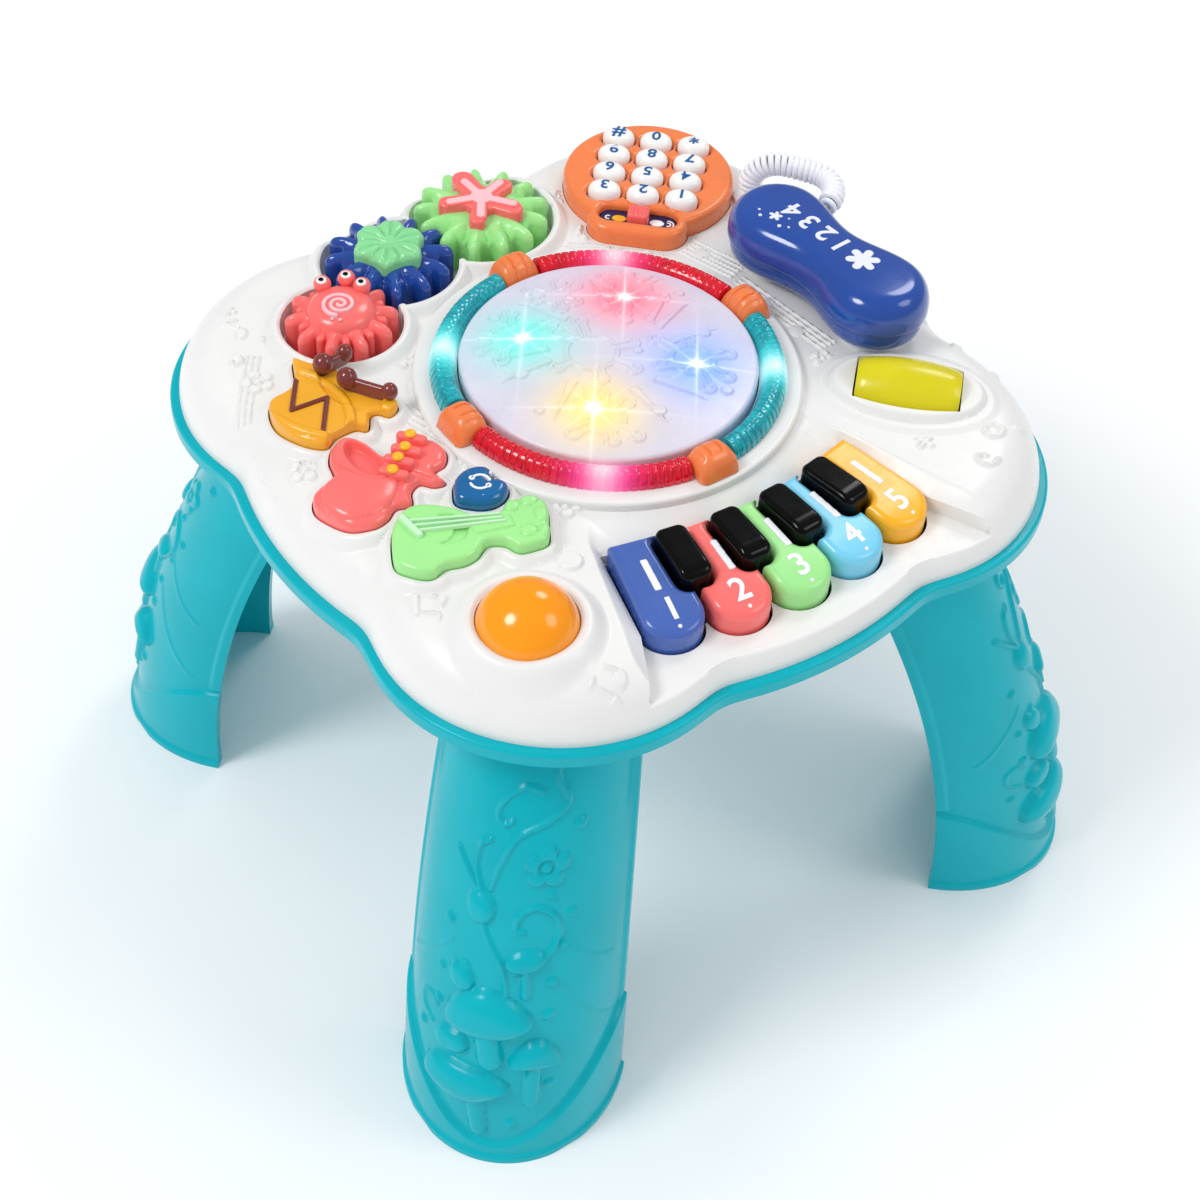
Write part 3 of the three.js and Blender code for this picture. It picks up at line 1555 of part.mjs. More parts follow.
// A cell along X, its plus end towards +X
function makeCell() {
  const half = cellLength / 2;
  return revolve([
    [0, -half], [cellRadius, -half], [cellRadius, half - cellNubHeight], [cellNub, half - cellNubHeight],
    [cellNub, half], [0, half],
  ], smallSteps).rotate([0, quarter / degree, 0]);
}

function makeBoard() {
  const low = boardTop - boardThickness;
  const plate = box(boardHalfX * 2, boardHalfY * 2, low, boardTop);
  return plate.subtract(posts(postPin + seatGap, low - overrun, boardTop + overrun));
}

function makeLightBoard() {
  const low = lightBoardTop - boardThickness;
  const span = postSpan * Math.SQRT2 + postRadius;
  const plate = rod(Math.max(lightBoardRadius, span), low, lightBoardTop, roundSteps);
  const leds = [[1, 1], [1, -1], [-1, 1], [-1, -1]].map(([x, y]) =>
    rod(ledRadius, lightBoardTop - boardThickness / 2, lightBoardTop + ledHeight, pinSteps)
      .translate([x * ledSpan, y * ledSpan, 0]));
  return join([plate, ...leds]);
}

// Assembly

const table = new THREE.Group();
table.name = 'musical_activity_table';
const tableTop = new THREE.Group();
tableTop.position.z = rimHeight;
table.add(tableTop);

function finish(color, roughness, extra = {}) {
  return new THREE.MeshStandardMaterial({ color, roughness, metalness: 0, flatShading: true, ...extra });
}

function addPiece(name, solid, material, spot = [0, 0, 0], angle = 0, parent = tableTop) {
  const mesh = new THREE.Mesh(toGeometry(solid), material);
  mesh.name = name;
  mesh.position.set(...spot);
  mesh.rotation.z = angle;
  parent.add(mesh);
  return mesh;
}

addPiece('top_shell', makeTopShell(), finish(white, 0.35));
addPiece('base_shell', makeBaseShell(), finish(turquoise, 0.3));

const leg = makeLeg();
const legNames = ['leg_back_right', 'leg_back_left', 'leg_front_left', 'leg_front_right'];
legNames.forEach((name, i) => {
  addPiece(name, leg, finish(turquoise, 0.3), [0, 0, 0], legBearing(i), table);
});

const keyColours = [keyBlue, pink, green, lightBlue, amber];
keySpots().forEach(({ x, y, angle }, i) => {
  addPiece(`key_${i + 1}`, makeKey(i), finish(keyColours[i], 0.35), [x, y, 0], angle);
});
addPiece('black_key_frame', makeKeyFrame(), finish(black, 0.15));

addPiece('light_lens', makeLens(), finish(lavender, 0.15, { transparent: true, opacity: 0.8 }));
const guide = makeRingGuide(0);
['ring_guide_red_back', 'ring_guide_teal_left', 'ring_guide_red_front', 'ring_guide_teal_right']
  .forEach((name, i) => {
    addPiece(name, guide, finish(i % 2 ? teal : red, 0.2), [0, 0, 0], quarter * i);
  });
const clamp = makeClamp();
['ring_clamp_right', 'ring_clamp_back', 'ring_clamp_left', 'ring_clamp_front'].forEach((name, i) => {
  addPiece(name, clamp, finish(orange, 0.35), [0, 0, 0], quarter * i);
});

addPiece('drum_button', makeFigure(drumOutline(), [saxOutline()]), finish(gold, 0.35));
addPiece('saxophone_button', makeFigure(saxOutline(), [guitarOutline()], [drumOutline()]),
  finish(pink, 0.35));
addPiece('guitar_button', makeFigure(guitarOutline(), [heartOutline()], [saxOutline()]),
  finish(green, 0.35));
addPiece('heart_button', makeFigure(heartOutline(), [], [guitarOutline(), saxOutline()]),
  finish(heartBlue, 0.3));

addPiece('spinner_ball', makeBall(), finish(orange, 0.25), [...ballCentre, ballHeight], ballAxleBearing);
addPiece('roller', makeRoller(), finish(yellow, 0.3), [...rollerCentre, rollerHeight], rollerBearing);

const handset = new THREE.Group();
handset.position.set(...handsetCentre, 0);
handset.rotation.z = handsetBearing;
tableTop.add(handset);
addPiece('handset_lower_shell', makeHandsetLower(), finish(blue, 0.3), [0, 0, 0], 0, handset);
addPiece('handset_upper_shell', makeHandsetUpper(), finish(blue, 0.3), [0, 0, 0], 0, handset);

const keypad = new THREE.Group();
keypad.position.set(...padCentre, 0);
keypad.rotation.z = padBearing;
tableTop.add(keypad);
addPiece('keypad_plate', makePadPlate(), finish(orange, 0.35), [0, 0, 0], 0, keypad);
const numberNames = ['1', '2', '3', '4', '5', '6', '7', '8', '9', 'star', '0', 'hash'];
numberSpots().forEach(([x, y], i) => {
  addPiece(`number_${numberNames[i]}`, makeNumberButton(), finish(white, 0.35), [x, y, 0], 0, keypad);
});
addPiece('volume_knob', makeKnob(), finish(pink, 0.35), [-panelShift, 0, 0], 0, keypad);

const phases = gearPhases();
const [greenSpot, blueSpot, pinkSpot] = gearSpots().map(({ spot }) => spot);
addPiece('green_gear', makeGear(greenTeeth), finish(green, 0.35), [...greenSpot, 0], phases[0]);
addPiece('blue_gear', makeGear(blueTeeth), finish(blue, 0.3), [...blueSpot, 0], phases[1]);
addPiece('crab_gear', makeCrab(), finish(pink, 0.35), [...pinkSpot, 0], phases[2]);
addPiece('splash_cap', makeCap(waveOutline(splashRadius, splashWave, splashArms), splashTop),
  finish(pink, 0.35), [...greenSpot, 0], phases[0]);
addPiece('flower_cap', makeCap(waveOutline(flowerRadius, flowerWave, flowerArms), flowerTop),
  finish(green, 0.4), [...blueSpot, 0], phases[1]);

console.log(`curly cord: least gap between curls ${cordSelfGap().toFixed(2)} mm,`
  + ` ${curlyPath().curls} curls, path ${cordPath().getLength().toFixed(0)} mm`);
addPiece('curly_cord', makeCord(), finish(white, 0.4));
addPiece('cord_grommet', makeGrommet(), finish(white, 0.4), [...cordRoot, 0]);

addPiece('speaker', makeSpeaker(), finish(steel, 0.5, { metalness: 0.6 }));
addPiece('battery_door', makeDoor(), finish(turquoise, 0.3));
const cellLift = -bowlFloorDrop + doorThickness + seatGap * 2 + cellRadius;
for (let i = 0; i < cellCount; i += 1) {
  const y = doorCentre[1] + (i - (cellCount - 1) / 2) * (cellRadius * 2 + seatGap);
  addPiece(`battery_${i + 1}`, makeCell(), finish(steel, 0.4), [doorCentre[0], y, cellLift],
    (i % 2) * turn / 2);
}
addPiece('circuit_board', makeBoard(), finish(boardGreen, 0.5));
addPiece('light_board', makeLightBoard(), finish(boardGreen, 0.5));

export default table;
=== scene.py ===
"""Looks of the musical activity table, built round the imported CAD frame. Metres, +Z up."""

import math

import bpy
import numpy as np
from mathutils import Matrix, Vector


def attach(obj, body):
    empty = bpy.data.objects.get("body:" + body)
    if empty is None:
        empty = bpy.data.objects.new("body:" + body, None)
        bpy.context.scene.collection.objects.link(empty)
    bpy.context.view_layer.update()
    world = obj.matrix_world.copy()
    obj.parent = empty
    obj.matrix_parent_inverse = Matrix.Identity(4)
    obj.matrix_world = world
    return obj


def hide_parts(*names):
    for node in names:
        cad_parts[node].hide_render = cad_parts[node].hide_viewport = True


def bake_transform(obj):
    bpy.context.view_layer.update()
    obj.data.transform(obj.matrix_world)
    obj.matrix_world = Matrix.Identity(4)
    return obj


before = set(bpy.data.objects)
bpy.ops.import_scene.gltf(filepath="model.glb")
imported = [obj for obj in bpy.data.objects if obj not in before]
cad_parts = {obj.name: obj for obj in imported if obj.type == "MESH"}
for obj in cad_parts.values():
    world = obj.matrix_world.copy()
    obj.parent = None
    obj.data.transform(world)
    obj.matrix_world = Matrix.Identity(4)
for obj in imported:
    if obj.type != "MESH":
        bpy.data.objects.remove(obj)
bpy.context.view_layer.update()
MM = 0.001
DEG = math.pi / 180
TURN = 2 * math.pi

# Camera, fitted to the rim, light ring and feet

CAM_TARGET = 237.3
CAM_DISTANCE = 1029.8
CAM_ELEVATION = 41.62 * DEG
CAM_AZIMUTH = -37.11 * DEG
CAM_ROLL = 3.33 * DEG
CAM_PAN = 0.138 * DEG
CAM_TILT = 4.62 * DEG
CAM_LENS = 66.96
SENSOR_WIDTH = 36


def unit(v):
    return v / np.linalg.norm(v)


def make_camera():
    ca, sa = math.cos(CAM_AZIMUTH), math.sin(CAM_AZIMUTH)
    ce, se = math.cos(CAM_ELEVATION), math.sin(CAM_ELEVATION)
    back = np.array([sa * ce, -ca * ce, se])
    right = np.array([ca, sa, 0])
    up = np.cross(back, right)
    cr, sr = math.cos(CAM_ROLL), math.sin(CAM_ROLL)
    right, up = cr * right + sr * up, cr * up - sr * right
    cp, sp = math.cos(CAM_PAN), math.sin(CAM_PAN)
    ct, st = math.cos(CAM_TILT), math.sin(CAM_TILT)
    aim = back * cp * ct + right * sp * ct + up * st
    across = unit(right * cp - back * sp)
    upright = unit(np.cross(aim, across))
    across = np.cross(upright, aim)
    place = (np.array([0, 0, CAM_TARGET]) + CAM_DISTANCE * back) * MM
    cam = bpy.data.objects.new("camera", bpy.data.cameras.new("camera"))
    cam.data.lens = CAM_LENS
    cam.data.sensor_width = SENSOR_WIDTH
    cam.data.clip_end = 20
    rows = np.vstack([np.column_stack([across, upright, aim, place]), [0, 0, 0, 1]])
    cam.matrix_world = Matrix([[*row] for row in rows])
    bpy.context.scene.collection.objects.link(cam)
    bpy.context.scene.camera = cam


make_camera()

# Materials


def linear(rgb):
    s = np.array(rgb) / 255
    low = s / 12.92
    high = ((s + 0.055) / 1.055) ** 2.4
    return (*np.where(s <= 0.04045, low, high).tolist(), 1)


SKIN_DEPTH = 0.0006
COAT_ROUGHNESS = 0.08
NO_LIGHT = (0, 0, 0, 1)
WHITE_LIGHT = (1.0, 1.0, 1.0, 1)


class Nodes:
    """A material's node tree, with short names for the nodes that the materials use"""

    def __init__(self, name):
        self.material = bpy.data.materials.new(name)
        self.material.use_nodes = True
        self.tree = self.material.node_tree
        self.shader = self.tree.nodes["Principled BSDF"]
        self.spot = self.new("ShaderNodeTexCoord").outputs["Object"]

    def new(self, kind, **settings):
        node = self.tree.nodes.new(kind)
        for key, value in settings.items():
            setattr(node, key, value)
        return node

    def fill(self, socket, value):
        """A constant or a link into a socket"""
        if isinstance(value, (int, float, tuple)):
            socket.default_value = value
        else:
            self.tree.links.new(value, socket)

    def feed(self, **sockets):
        """Values of the shader's own sockets, named with _ for each space"""
        for key, value in sockets.items():
            self.fill(self.shader.inputs[key.replace("_", " ")], value)

    def math(self, operation, a, b=None, clamp=False):
        node = self.new("ShaderNodeMath", operation=operation, use_clamp=clamp)
        self.fill(node.inputs[0], a)
        if b is not None:
            self.fill(node.inputs[1], b)
        return node.outputs[0]

    def times(self, a, b):
        return self.math("MULTIPLY", a, b)

    def plus(self, a, b, clamp=False):
        return self.math("ADD", a, b, clamp)

    def minus(self, a, b, clamp=False):
        return self.math("SUBTRACT", a, b, clamp)

    def fade(self, value, rate):
        """Falls from one as the value grows"""
        return self.math("EXPONENT", self.times(value, -rate))

    def mix(self, share, a, b, blend="MIX"):
        node = self.new("ShaderNodeMix", data_type="RGBA", blend_type=blend)
        for index, value in ((0, share), (6, a), (7, b)):
            self.fill(node.inputs[index], value)
        return node.outputs[2]

    def noise(self, scale, detail=3.0):
        node = self.new("ShaderNodeTexNoise")
        for key, value in (("Scale", scale), ("Detail", detail), ("Vector", self.spot)):
            self.fill(node.inputs[key], value)
        return node.outputs["Fac"]

    def span(self, value, low, high):
        """Noise stretched to run from low to high"""
        node = self.new("ShaderNodeMapRange")
        for key, end in (("Value", value), ("From Min", 0.3), ("From Max", 0.7), ("To Min", low),
                         ("To Max", high)):
            self.fill(node.inputs[key], end)
        return node.outputs["Result"]

    def xy(self):
        split = self.new("ShaderNodeSeparateXYZ")
        self.fill(split.inputs[0], self.spot)
        return split.outputs[0], split.outputs[1]

    def skin(self, height, strength):
        """Fine unevenness of the surface"""
        node = self.new("ShaderNodeBump")
        for key, value in (("Strength", strength), ("Distance", SKIN_DEPTH), ("Height", height)):
            self.fill(node.inputs[key], value)
        self.feed(Normal=node.outputs["Normal"])


def plastic(name, rgb, rough, grain, vary, coat=0.0, **sockets):
    """Moulded plastic: slow changes of tone and gloss, and a fine skin on the surface"""
    n = Nodes(name)
    wave = n.noise(160, 2.0)
    tone = linear(rgb)
    dark = (*[c * (1 - vary * 1.6) for c in tone[:3]], 1)
    pale = (*[min(1, c * (1 + vary)) for c in tone[:3]], 1)
    n.feed(Base_Color=n.mix(n.span(n.noise(28), 0, 1), dark, pale),
           Roughness=n.span(wave, rough * 0.82, rough * 1.2), **sockets)
    n.skin(n.plus(n.times(n.noise(1400, 2.0), 0.35), n.times(wave, 0.65)), grain)
    if coat:
        n.feed(Coat_Weight=coat, Coat_Roughness=COAT_ROUGHNESS)
    return n.material


WHITE = plastic("white_shell", (229, 229, 227), 0.33, 0.05, 0.012)
TURQUOISE = plastic("turquoise_shell", (0, 174, 188), 0.22, 0.02, 0.03, Specular_IOR_Level=0.22)
ORANGE = plastic("orange_plastic", (240, 128, 70), 0.27, 0.05, 0.03, coat=0.2)
BLUE = plastic("blue_plastic", (30, 72, 158), 0.17, 0.04, 0.05, coat=0.5)
CORAL = plastic("coral_plastic", (250, 112, 108), 0.25, 0.05, 0.03, coat=0.25)
GREEN = plastic("light_green_plastic", (160, 232, 144), 0.27, 0.05, 0.03, coat=0.2)
SKY = plastic("light_blue_plastic", (118, 203, 234), 0.26, 0.05, 0.03, coat=0.2)
KEY_BLUE = plastic("key_blue_plastic", (66, 98, 176), 0.24, 0.05, 0.04, coat=0.3)
AMBER = plastic("amber_plastic", (255, 180, 30), 0.26, 0.05, 0.03, coat=0.2)
BALL = plastic("ball_plastic", (253, 152, 0), 0.17, 0.02, 0.03, coat=0.3)
GOLD = plastic("gold_plastic", (240, 170, 32), 0.27, 0.05, 0.04, coat=0.2)
YELLOW = plastic("yellow_plastic", (216, 204, 0), 0.28, 0.05, 0.04, coat=0.15)
HEART = plastic("heart_blue_plastic", (6, 98, 158), 0.16, 0.03, 0.05, coat=0.5)
BLACK = plastic("black_plastic", (3, 3, 4), 0.16, 0.02, 0.1, Specular_IOR_Level=0.24)
BROWN = plastic("brown_plastic", (122, 52, 48), 0.18, 0.03, 0.06, coat=0.4)
PRINT_WHITE = plastic("white_print", (240, 242, 246), 0.4, 0.03, 0.01)
PRINT_BLUE = plastic("blue_print", (8, 88, 158), 0.4, 0.03, 0.04)
NAVY = plastic("navy_print", (24, 34, 84), 0.3, 0.03, 0.06)
PINK = plastic("pale_pink_plastic", (246, 190, 196), 0.3, 0.04, 0.03)
PALE_GREEN = plastic("pale_green_plastic", (196, 240, 196), 0.3, 0.04, 0.03)
BUTTON = plastic("button_white_plastic", (240, 240, 238), 0.24, 0.03, 0.01, coat=0.2)
CORD = plastic("cord_plastic", (240, 241, 246), 0.34, 0.05, 0.01)
METAL = plastic("plain_metal", (176, 180, 186), 0.3, 0.2, 0.08, Metallic=1.0)
BOARD = plastic("board_laminate", (31, 107, 58), 0.4, 0.15, 0.12)
HANDSET_PRINT = plastic("handset_print", (226, 229, 240), 0.35, 0.03, 0.02)
FLOWER_GREEN = plastic("flower_green_plastic", (134, 214, 148), 0.27, 0.05, 0.03, coat=0.2)

# Geometry in millimetres


def fine(step):
    return step


def polar(radius, angle, centre=(0, 0)):
    return centre[0] + radius * math.cos(angle), centre[1] + radius * math.sin(angle)


def placed(x, y, centre=(0, 0), angle=0.0):
    """Plan point x, y of a frame that is turned by angle round its centre"""
    c, s = math.cos(angle), math.sin(angle)
    return centre[0] + x * c - y * s, centre[1] + x * s + y * c


def smooth_loop(points, per=7):
    """Closed Catmull-Rom curve through the points"""
    p = np.asarray(points, float)
    before, after, later = np.roll(p, 1, 0), np.roll(p, -1, 0), np.roll(p, -2, 0)
    out = []
    for k in range(per):
        t = k / per
        out.append(0.5 * (2 * p + (after - before) * t + (2 * before - 5 * p + 4 * after - later) * t ** 2
                          + (3 * p - before - 3 * after + later) * t ** 3))
    return np.stack(out, 1).reshape(-1, 2)


def poly_dist(p, poly):
    """Signed distance to a closed outline, positive inside"""
    a = np.asarray(poly, float)
    b = np.roll(a, -1, 0)
    edge = b - a
    square = np.maximum((edge ** 2).sum(1), 1e-12)
    out = np.empty(len(p))
    for start in range(0, len(p), 8192):
        q = p[start:start + 8192]
        w = q[:, None, :] - a[None]
        t = np.clip((w * edge).sum(2) / square, 0, 1)
        away = w - t[..., None] * edge
        d = np.sqrt((away ** 2).sum(2).min(1))
        above_a = a[None, :, 1] <= q[:, 1:2]
        above_b = b[None, :, 1] <= q[:, 1:2]
        side = edge[None, :, 0] * w[:, :, 1] - edge[None, :, 1] * w[:, :, 0]
        wind = ((above_a & ~above_b & (side > 0)).sum(1) - (~above_a & above_b & (side < 0)).sum(1))
        out[start:start + 8192] = np.where(wind != 0, d, -d)
    return out


REACH = 16


def shape(outline):
    """Signed distance to an outline, exact within REACH of it"""
    poly = np.asarray(outline, float)
    lo, hi = poly.min(0) - REACH, poly.max(0) + REACH

    def dist(p):
        d = np.full(len(p), -float(REACH))
        near = ((p > lo) & (p < hi)).all(1)
        if near.any():
            d[near] = np.maximum(poly_dist(p[near], poly), -REACH)
        return d
    return dist


def disc(centre, radius):
    c = np.array(centre, float)
    return lambda p: radius - np.hypot(p[:, 0] - c[0], p[:, 1] - c[1])


def hoop(centre, radius, half):
    c = np.array(centre, float)
    return lambda p: half - np.abs(np.hypot(p[:, 0] - c[0], p[:, 1] - c[1]) - radius)


def local(p, centre, angle=0.0):
    q = p - np.array(centre, float)
    c, s = math.cos(angle), math.sin(angle)
    return np.column_stack([q[:, 0] * c + q[:, 1] * s, q[:, 1] * c - q[:, 0] * s])


def turned(dist, centre, angle=0.0):
    return lambda p: dist(local(p, centre, angle))


def oval(a, b):
    def dist(p):
        x, y = np.abs(p[:, 0]), np.abs(p[:, 1])
        k = np.hypot(x / a, y / b)
        g = np.hypot(x / a ** 2, y / b ** 2)
        return np.where(g > 1e-9, k * (1 - k) / np.maximum(g, 1e-9), min(a, b))
    return dist


def pill(a, b, half):
    """A straight stroke with round ends"""
    a, b = np.array(a, float), np.array(b, float)
    edge = b - a

    def dist(p):
        w = p - a
        t = np.clip((w @ edge) / max(edge @ edge, 1e-9), 0, 1)
        return half - np.hypot(*(w - t[:, None] * edge).T)
    return dist


def stroke(points, half):
    return union(*[pill(a, b, half) for a, b in zip(points[:-1], points[1:])])


def block(hx, hy, corner):
    def dist(p):
        qx, qy = np.abs(p[:, 0]) - hx + corner, np.abs(p[:, 1]) - hy + corner
        out = np.hypot(np.maximum(qx, 0), np.maximum(qy, 0))
        return corner - out - np.minimum(np.maximum(qx, qy), 0)
    return dist


def union(*dists):
    return lambda p: np.maximum.reduce([d(p) for d in dists])


def both(*dists):
    return lambda p: np.minimum.reduce([d(p) for d in dists])


def less(dist, *cuts):
    return lambda p: np.minimum.reduce([dist(p)] + [-c(p) for c in cuts])


def grown(dist, by):
    return lambda p: dist(p) + by


def ease(t):
    t = np.clip(t, 0, 1)
    return t * t * (3 - 2 * t)


def softmax(a, b, k):
    h = np.clip(0.5 + 0.5 * (a - b) / k, 0, 1)
    return b * (1 - h) + a * h + k * h * (1 - h)


def softmin(a, b, k):
    return -softmax(-a, -b, k)


def over(d, r):
    """Drop of a rounded edge at distance d inside it"""
    x = np.clip(r - d, 0, r)
    return r - np.sqrt(np.maximum(r * r - x * x, 0)) + np.maximum(-d, 0) * 40


STEP_XY = 0.02


def gradient(f, p):
    dx, dy = np.array([STEP_XY, 0]), np.array([0, STEP_XY])
    gx = (f(p + dx) - f(p - dx)) / (2 * STEP_XY)
    gy = (f(p + dy) - f(p - dy)) / (2 * STEP_XY)
    return np.column_stack([gx, gy])


def surface_normals(f, p):
    g = gradient(f, p)
    n = np.column_stack([-g, np.ones(len(p))])
    return n / np.linalg.norm(n, axis=1)[:, None]

SNAP = 0.36
# Signs at a cut triangle's corners, and the faces kept of it. A pair of corners is the cut on that side.
CUTS = {
    (1, 1, -1): ((0, 1, (1, 2)), (0, (1, 2), (0, 2))),
    (1, -1, -1): ((0, (0, 1), (0, 2)),),
    (1, 0, -1): ((0, 1, (0, 2)),),
    (1, -1, 0): ((0, (0, 1), 2),),
}


def snapped_grid(dist, lo, hi, h):
    """Grid triangles with their points, and the points near the edge of dist moved on to it"""
    xs = np.arange(lo[0] - h, hi[0] + h * 1.5, h)
    ys = np.arange(lo[1] - h, hi[1] + h * 1.5, h)
    nx, ny = len(xs), len(ys)
    p = np.column_stack([np.repeat(xs, ny), np.tile(ys, nx)])
    d = dist(p)
    near = np.abs(d) < SNAP * h
    for _ in range(2):
        q = p[near]
        g = gradient(dist, q)
        size = np.maximum((g ** 2).sum(1), 1e-6)
        move = -(dist(q) / size)[:, None] * g
        length = np.maximum(np.hypot(*move.T), 1e-9)
        p[near] = q + move * np.minimum(1, 0.45 * h / length)[:, None]
    d[near] = 0
    i, j = np.meshgrid(np.arange(nx - 1), np.arange(ny - 1), indexing="ij")
    a = (i * ny + j).ravel()
    even = ((i + j) % 2 == 0).ravel()
    b, c, e = a + ny, a + ny + 1, a + 1
    tris = np.vstack([
        np.column_stack([a, b, c])[even], np.column_stack([a, c, e])[even],
        np.column_stack([a, b, e])[~even], np.column_stack([b, c, e])[~even]])
    return p, d, tris


def border_of(tris, count):
    """Directed edges that only one triangle has"""
    directed = np.vstack([tris[:, [0, 1]], tris[:, [1, 2]], tris[:, [2, 0]]])
    key = directed[:, 0] * count + directed[:, 1]
    twin = directed[:, 1] * count + directed[:, 0]
    return directed[~np.isin(key, twin)]


def region(dist, lo, hi, h):
    """Triangles over the plan area where dist is positive, with its edge followed exactly"""
    p, d, tris = snapped_grid(dist, lo, hi, h)
    s = np.sign(d).astype(int)
    st = s[tris]
    whole = (st.min(1) >= 0) & (st.max(1) > 0)
    flat = (st == 0).all(1)
    if flat.any():
        mid = dist(p[tris[flat]].mean(1)) > 0
        whole[np.flatnonzero(flat)[mid]] = True
    kept = [tris[whole]]
    cut = tris[(st.min(1) < 0) & (st.max(1) > 0)]
    total = len(p)
    found = []
    for r in range(3):
        t = np.roll(cut, -r, 1)
        for pattern, faces in CUTS.items():
            m = t[(s[t] == pattern).all(1)]
            if len(m):
                found += [(m, face) for face in faces]
    sides = [m[:, c] for m, face in found for c in face if isinstance(c, tuple)]
    if sides:
        pairs = np.unique(np.sort(np.vstack(sides), 1), axis=0)
        key = pairs[:, 0] * total + pairs[:, 1]
        da, db = d[pairs[:, 0]], d[pairs[:, 1]]
        t = da / (da - db)
        pa, pb = p[pairs[:, 0]], p[pairs[:, 1]]
        for _ in range(2):
            q = pa + (pb - pa) * t[:, None]
            t = np.clip(t + dist(q) / np.where(np.abs(da - db) < 1e-9, 1, da - db), 0.02, 0.98)
        p = np.vstack([p, pa + (pb - pa) * t[:, None]])

        def corner(m, c):
            if not isinstance(c, tuple):
                return m[:, c]
            e = np.sort(m[:, c], 1)
            return total + np.searchsorted(key, e[:, 0] * total + e[:, 1])
        kept += [np.column_stack([corner(m, c) for c in face]) for m, face in found]
    used, back = np.unique(np.vstack(kept), return_inverse=True)
    tris = back.reshape(-1, 3)
    return p[used], tris, border_of(tris, len(used))


class Build:
    """Collects faces with their own corner normals, and makes one mesh object of them"""

    def __init__(self):
        self.points, self.faces, self.normals, self.tints = [], [], [], []
        self.count = 0

    def add(self, points, faces, normals=None, tint=0):
        points = np.asarray(points, float)
        faces = np.asarray(faces)
        if normals is None:
            normals = even_normals(points, faces)
        normals = np.asarray(normals, float)
        if normals.ndim == 1:
            normals = np.broadcast_to(normals, points.shape)
        corner = normals[faces] if normals.ndim == 2 else normals
        self.points.append(points)
        self.faces.append(faces + self.count)
        self.normals.append(corner)
        self.tints.append(np.full(len(faces), tint))
        self.count += len(points)

    def moved(self, place=(0, 0, 0), angle=0.0):
        """All that was added so far, turned round Z and then moved"""
        c, s = math.cos(angle), math.sin(angle)
        turn = np.array([[c, s, 0], [-s, c, 0], [0, 0, 1]])
        self.points = [p @ turn + np.array(place, float) for p in self.points]
        self.normals = [n @ turn for n in self.normals]
        return self

    def join(self, other):
        for p, f, n, t in zip(other.points, other.faces, other.normals, other.tints):
            self.points.append(p)
            self.faces.append(f + self.count)
            self.normals.append(n)
            self.tints.append(t)
        self.count += other.count
        return self

    def mesh(self, name, materials):
        points = np.vstack(self.points) * MM
        mesh = bpy.data.meshes.new(name)
        loops = np.concatenate([f.ravel() for f in self.faces]).astype(np.int32)
        sizes = np.concatenate([np.full(len(f), f.shape[1]) for f in self.faces])
        starts = np.concatenate([[0], np.cumsum(sizes)[:-1]]).astype(np.int32)
        mesh.vertices.add(len(points))
        mesh.vertices.foreach_set("co", points.astype(np.float32).ravel())
        mesh.loops.add(len(loops))
        mesh.loops.foreach_set("vertex_index", loops)
        mesh.polygons.add(len(sizes))
        mesh.polygons.foreach_set("loop_start", starts)
        mesh.polygons.foreach_set("material_index", np.concatenate(self.tints).astype(np.int32))
        for material in materials:
            mesh.materials.append(material)
        mesh.update(calc_edges=True)
        mesh.shade_smooth()
        corner = np.concatenate([n.reshape(-1, 3) for n in self.normals])
        size = np.maximum(np.linalg.norm(corner, axis=1), 1e-9)
        mesh.normals_split_custom_set((corner / size[:, None]).astype(np.float32))
        return mesh


def even_normals(points, faces):
    a, b, c = points[faces[:, 0]], points[faces[:, 1]], points[faces[:, 2]]
    n = np.cross(b - a, c - a)
    if faces.shape[1] == 4:
        n = np.cross(c - a, points[faces[:, 3]] - b)
    out = np.zeros_like(points)
    for k in range(faces.shape[1]):
        np.add.at(out, faces[:, k], n)
    return out / np.maximum(np.linalg.norm(out, axis=1), 1e-12)[:, None]


def grid_faces(rows, count, closed=False):
    """Quads between rows of points; closed rows wrap round"""
    i, j = np.meshgrid(np.arange(rows - 1), np.arange(count if closed else count - 1), indexing="ij")
    i, j = i.ravel(), j.ravel()
    k = (j + 1) % count
    return np.column_stack([i * count + j, i * count + k, (i + 1) * count + k, (i + 1) * count + j])


def loft(build, rings, closed=True, tint=0, flip=False):
    """Smooth skin through rings of equal count; closed rings wrap round"""
    rings = np.asarray(rings, float)
    faces = grid_faces(*rings.shape[:2], closed)
    build.add(rings.reshape(-1, 3), faces[:, ::-1] if flip else faces, tint=tint)


def end_cap(build, ring, flip=False, normals=None):
    """Fan of triangles that closes a ring"""
    fan = np.array([[0, k, k + 1] for k in range(1, len(ring) - 1)])
    build.add(ring, fan[:, [0, 2, 1]] if flip else fan, normals)


def level_ring(x, y, z):
    return np.column_stack([x, y, np.full(len(x), float(z))])


def revolve(build, *profiles, centre=(0, 0), steps=96, tint=0):
    """Profiles of (radius, height) turned round Z; each is smooth, with creases between them"""
    angles = np.arange(steps) * TURN / steps
    for profile in profiles:
        pts = np.asarray(profile, float)
        rings = np.stack([
            centre[0] + pts[:, 0:1] * np.cos(angles), centre[1] + pts[:, 0:1] * np.sin(angles),
            np.repeat(pts[:, 1:2], steps, 1)], 2)
        loft(build, rings, tint=tint)


def arc(cx, cz, r, a0, a1, n=8):
    """Points of a profile's rounded corner, angles in degrees"""
    t = np.linspace(a0, a1, n) * DEG
    return [(cx + r * math.cos(a), cz + r * math.sin(a)) for a in t]


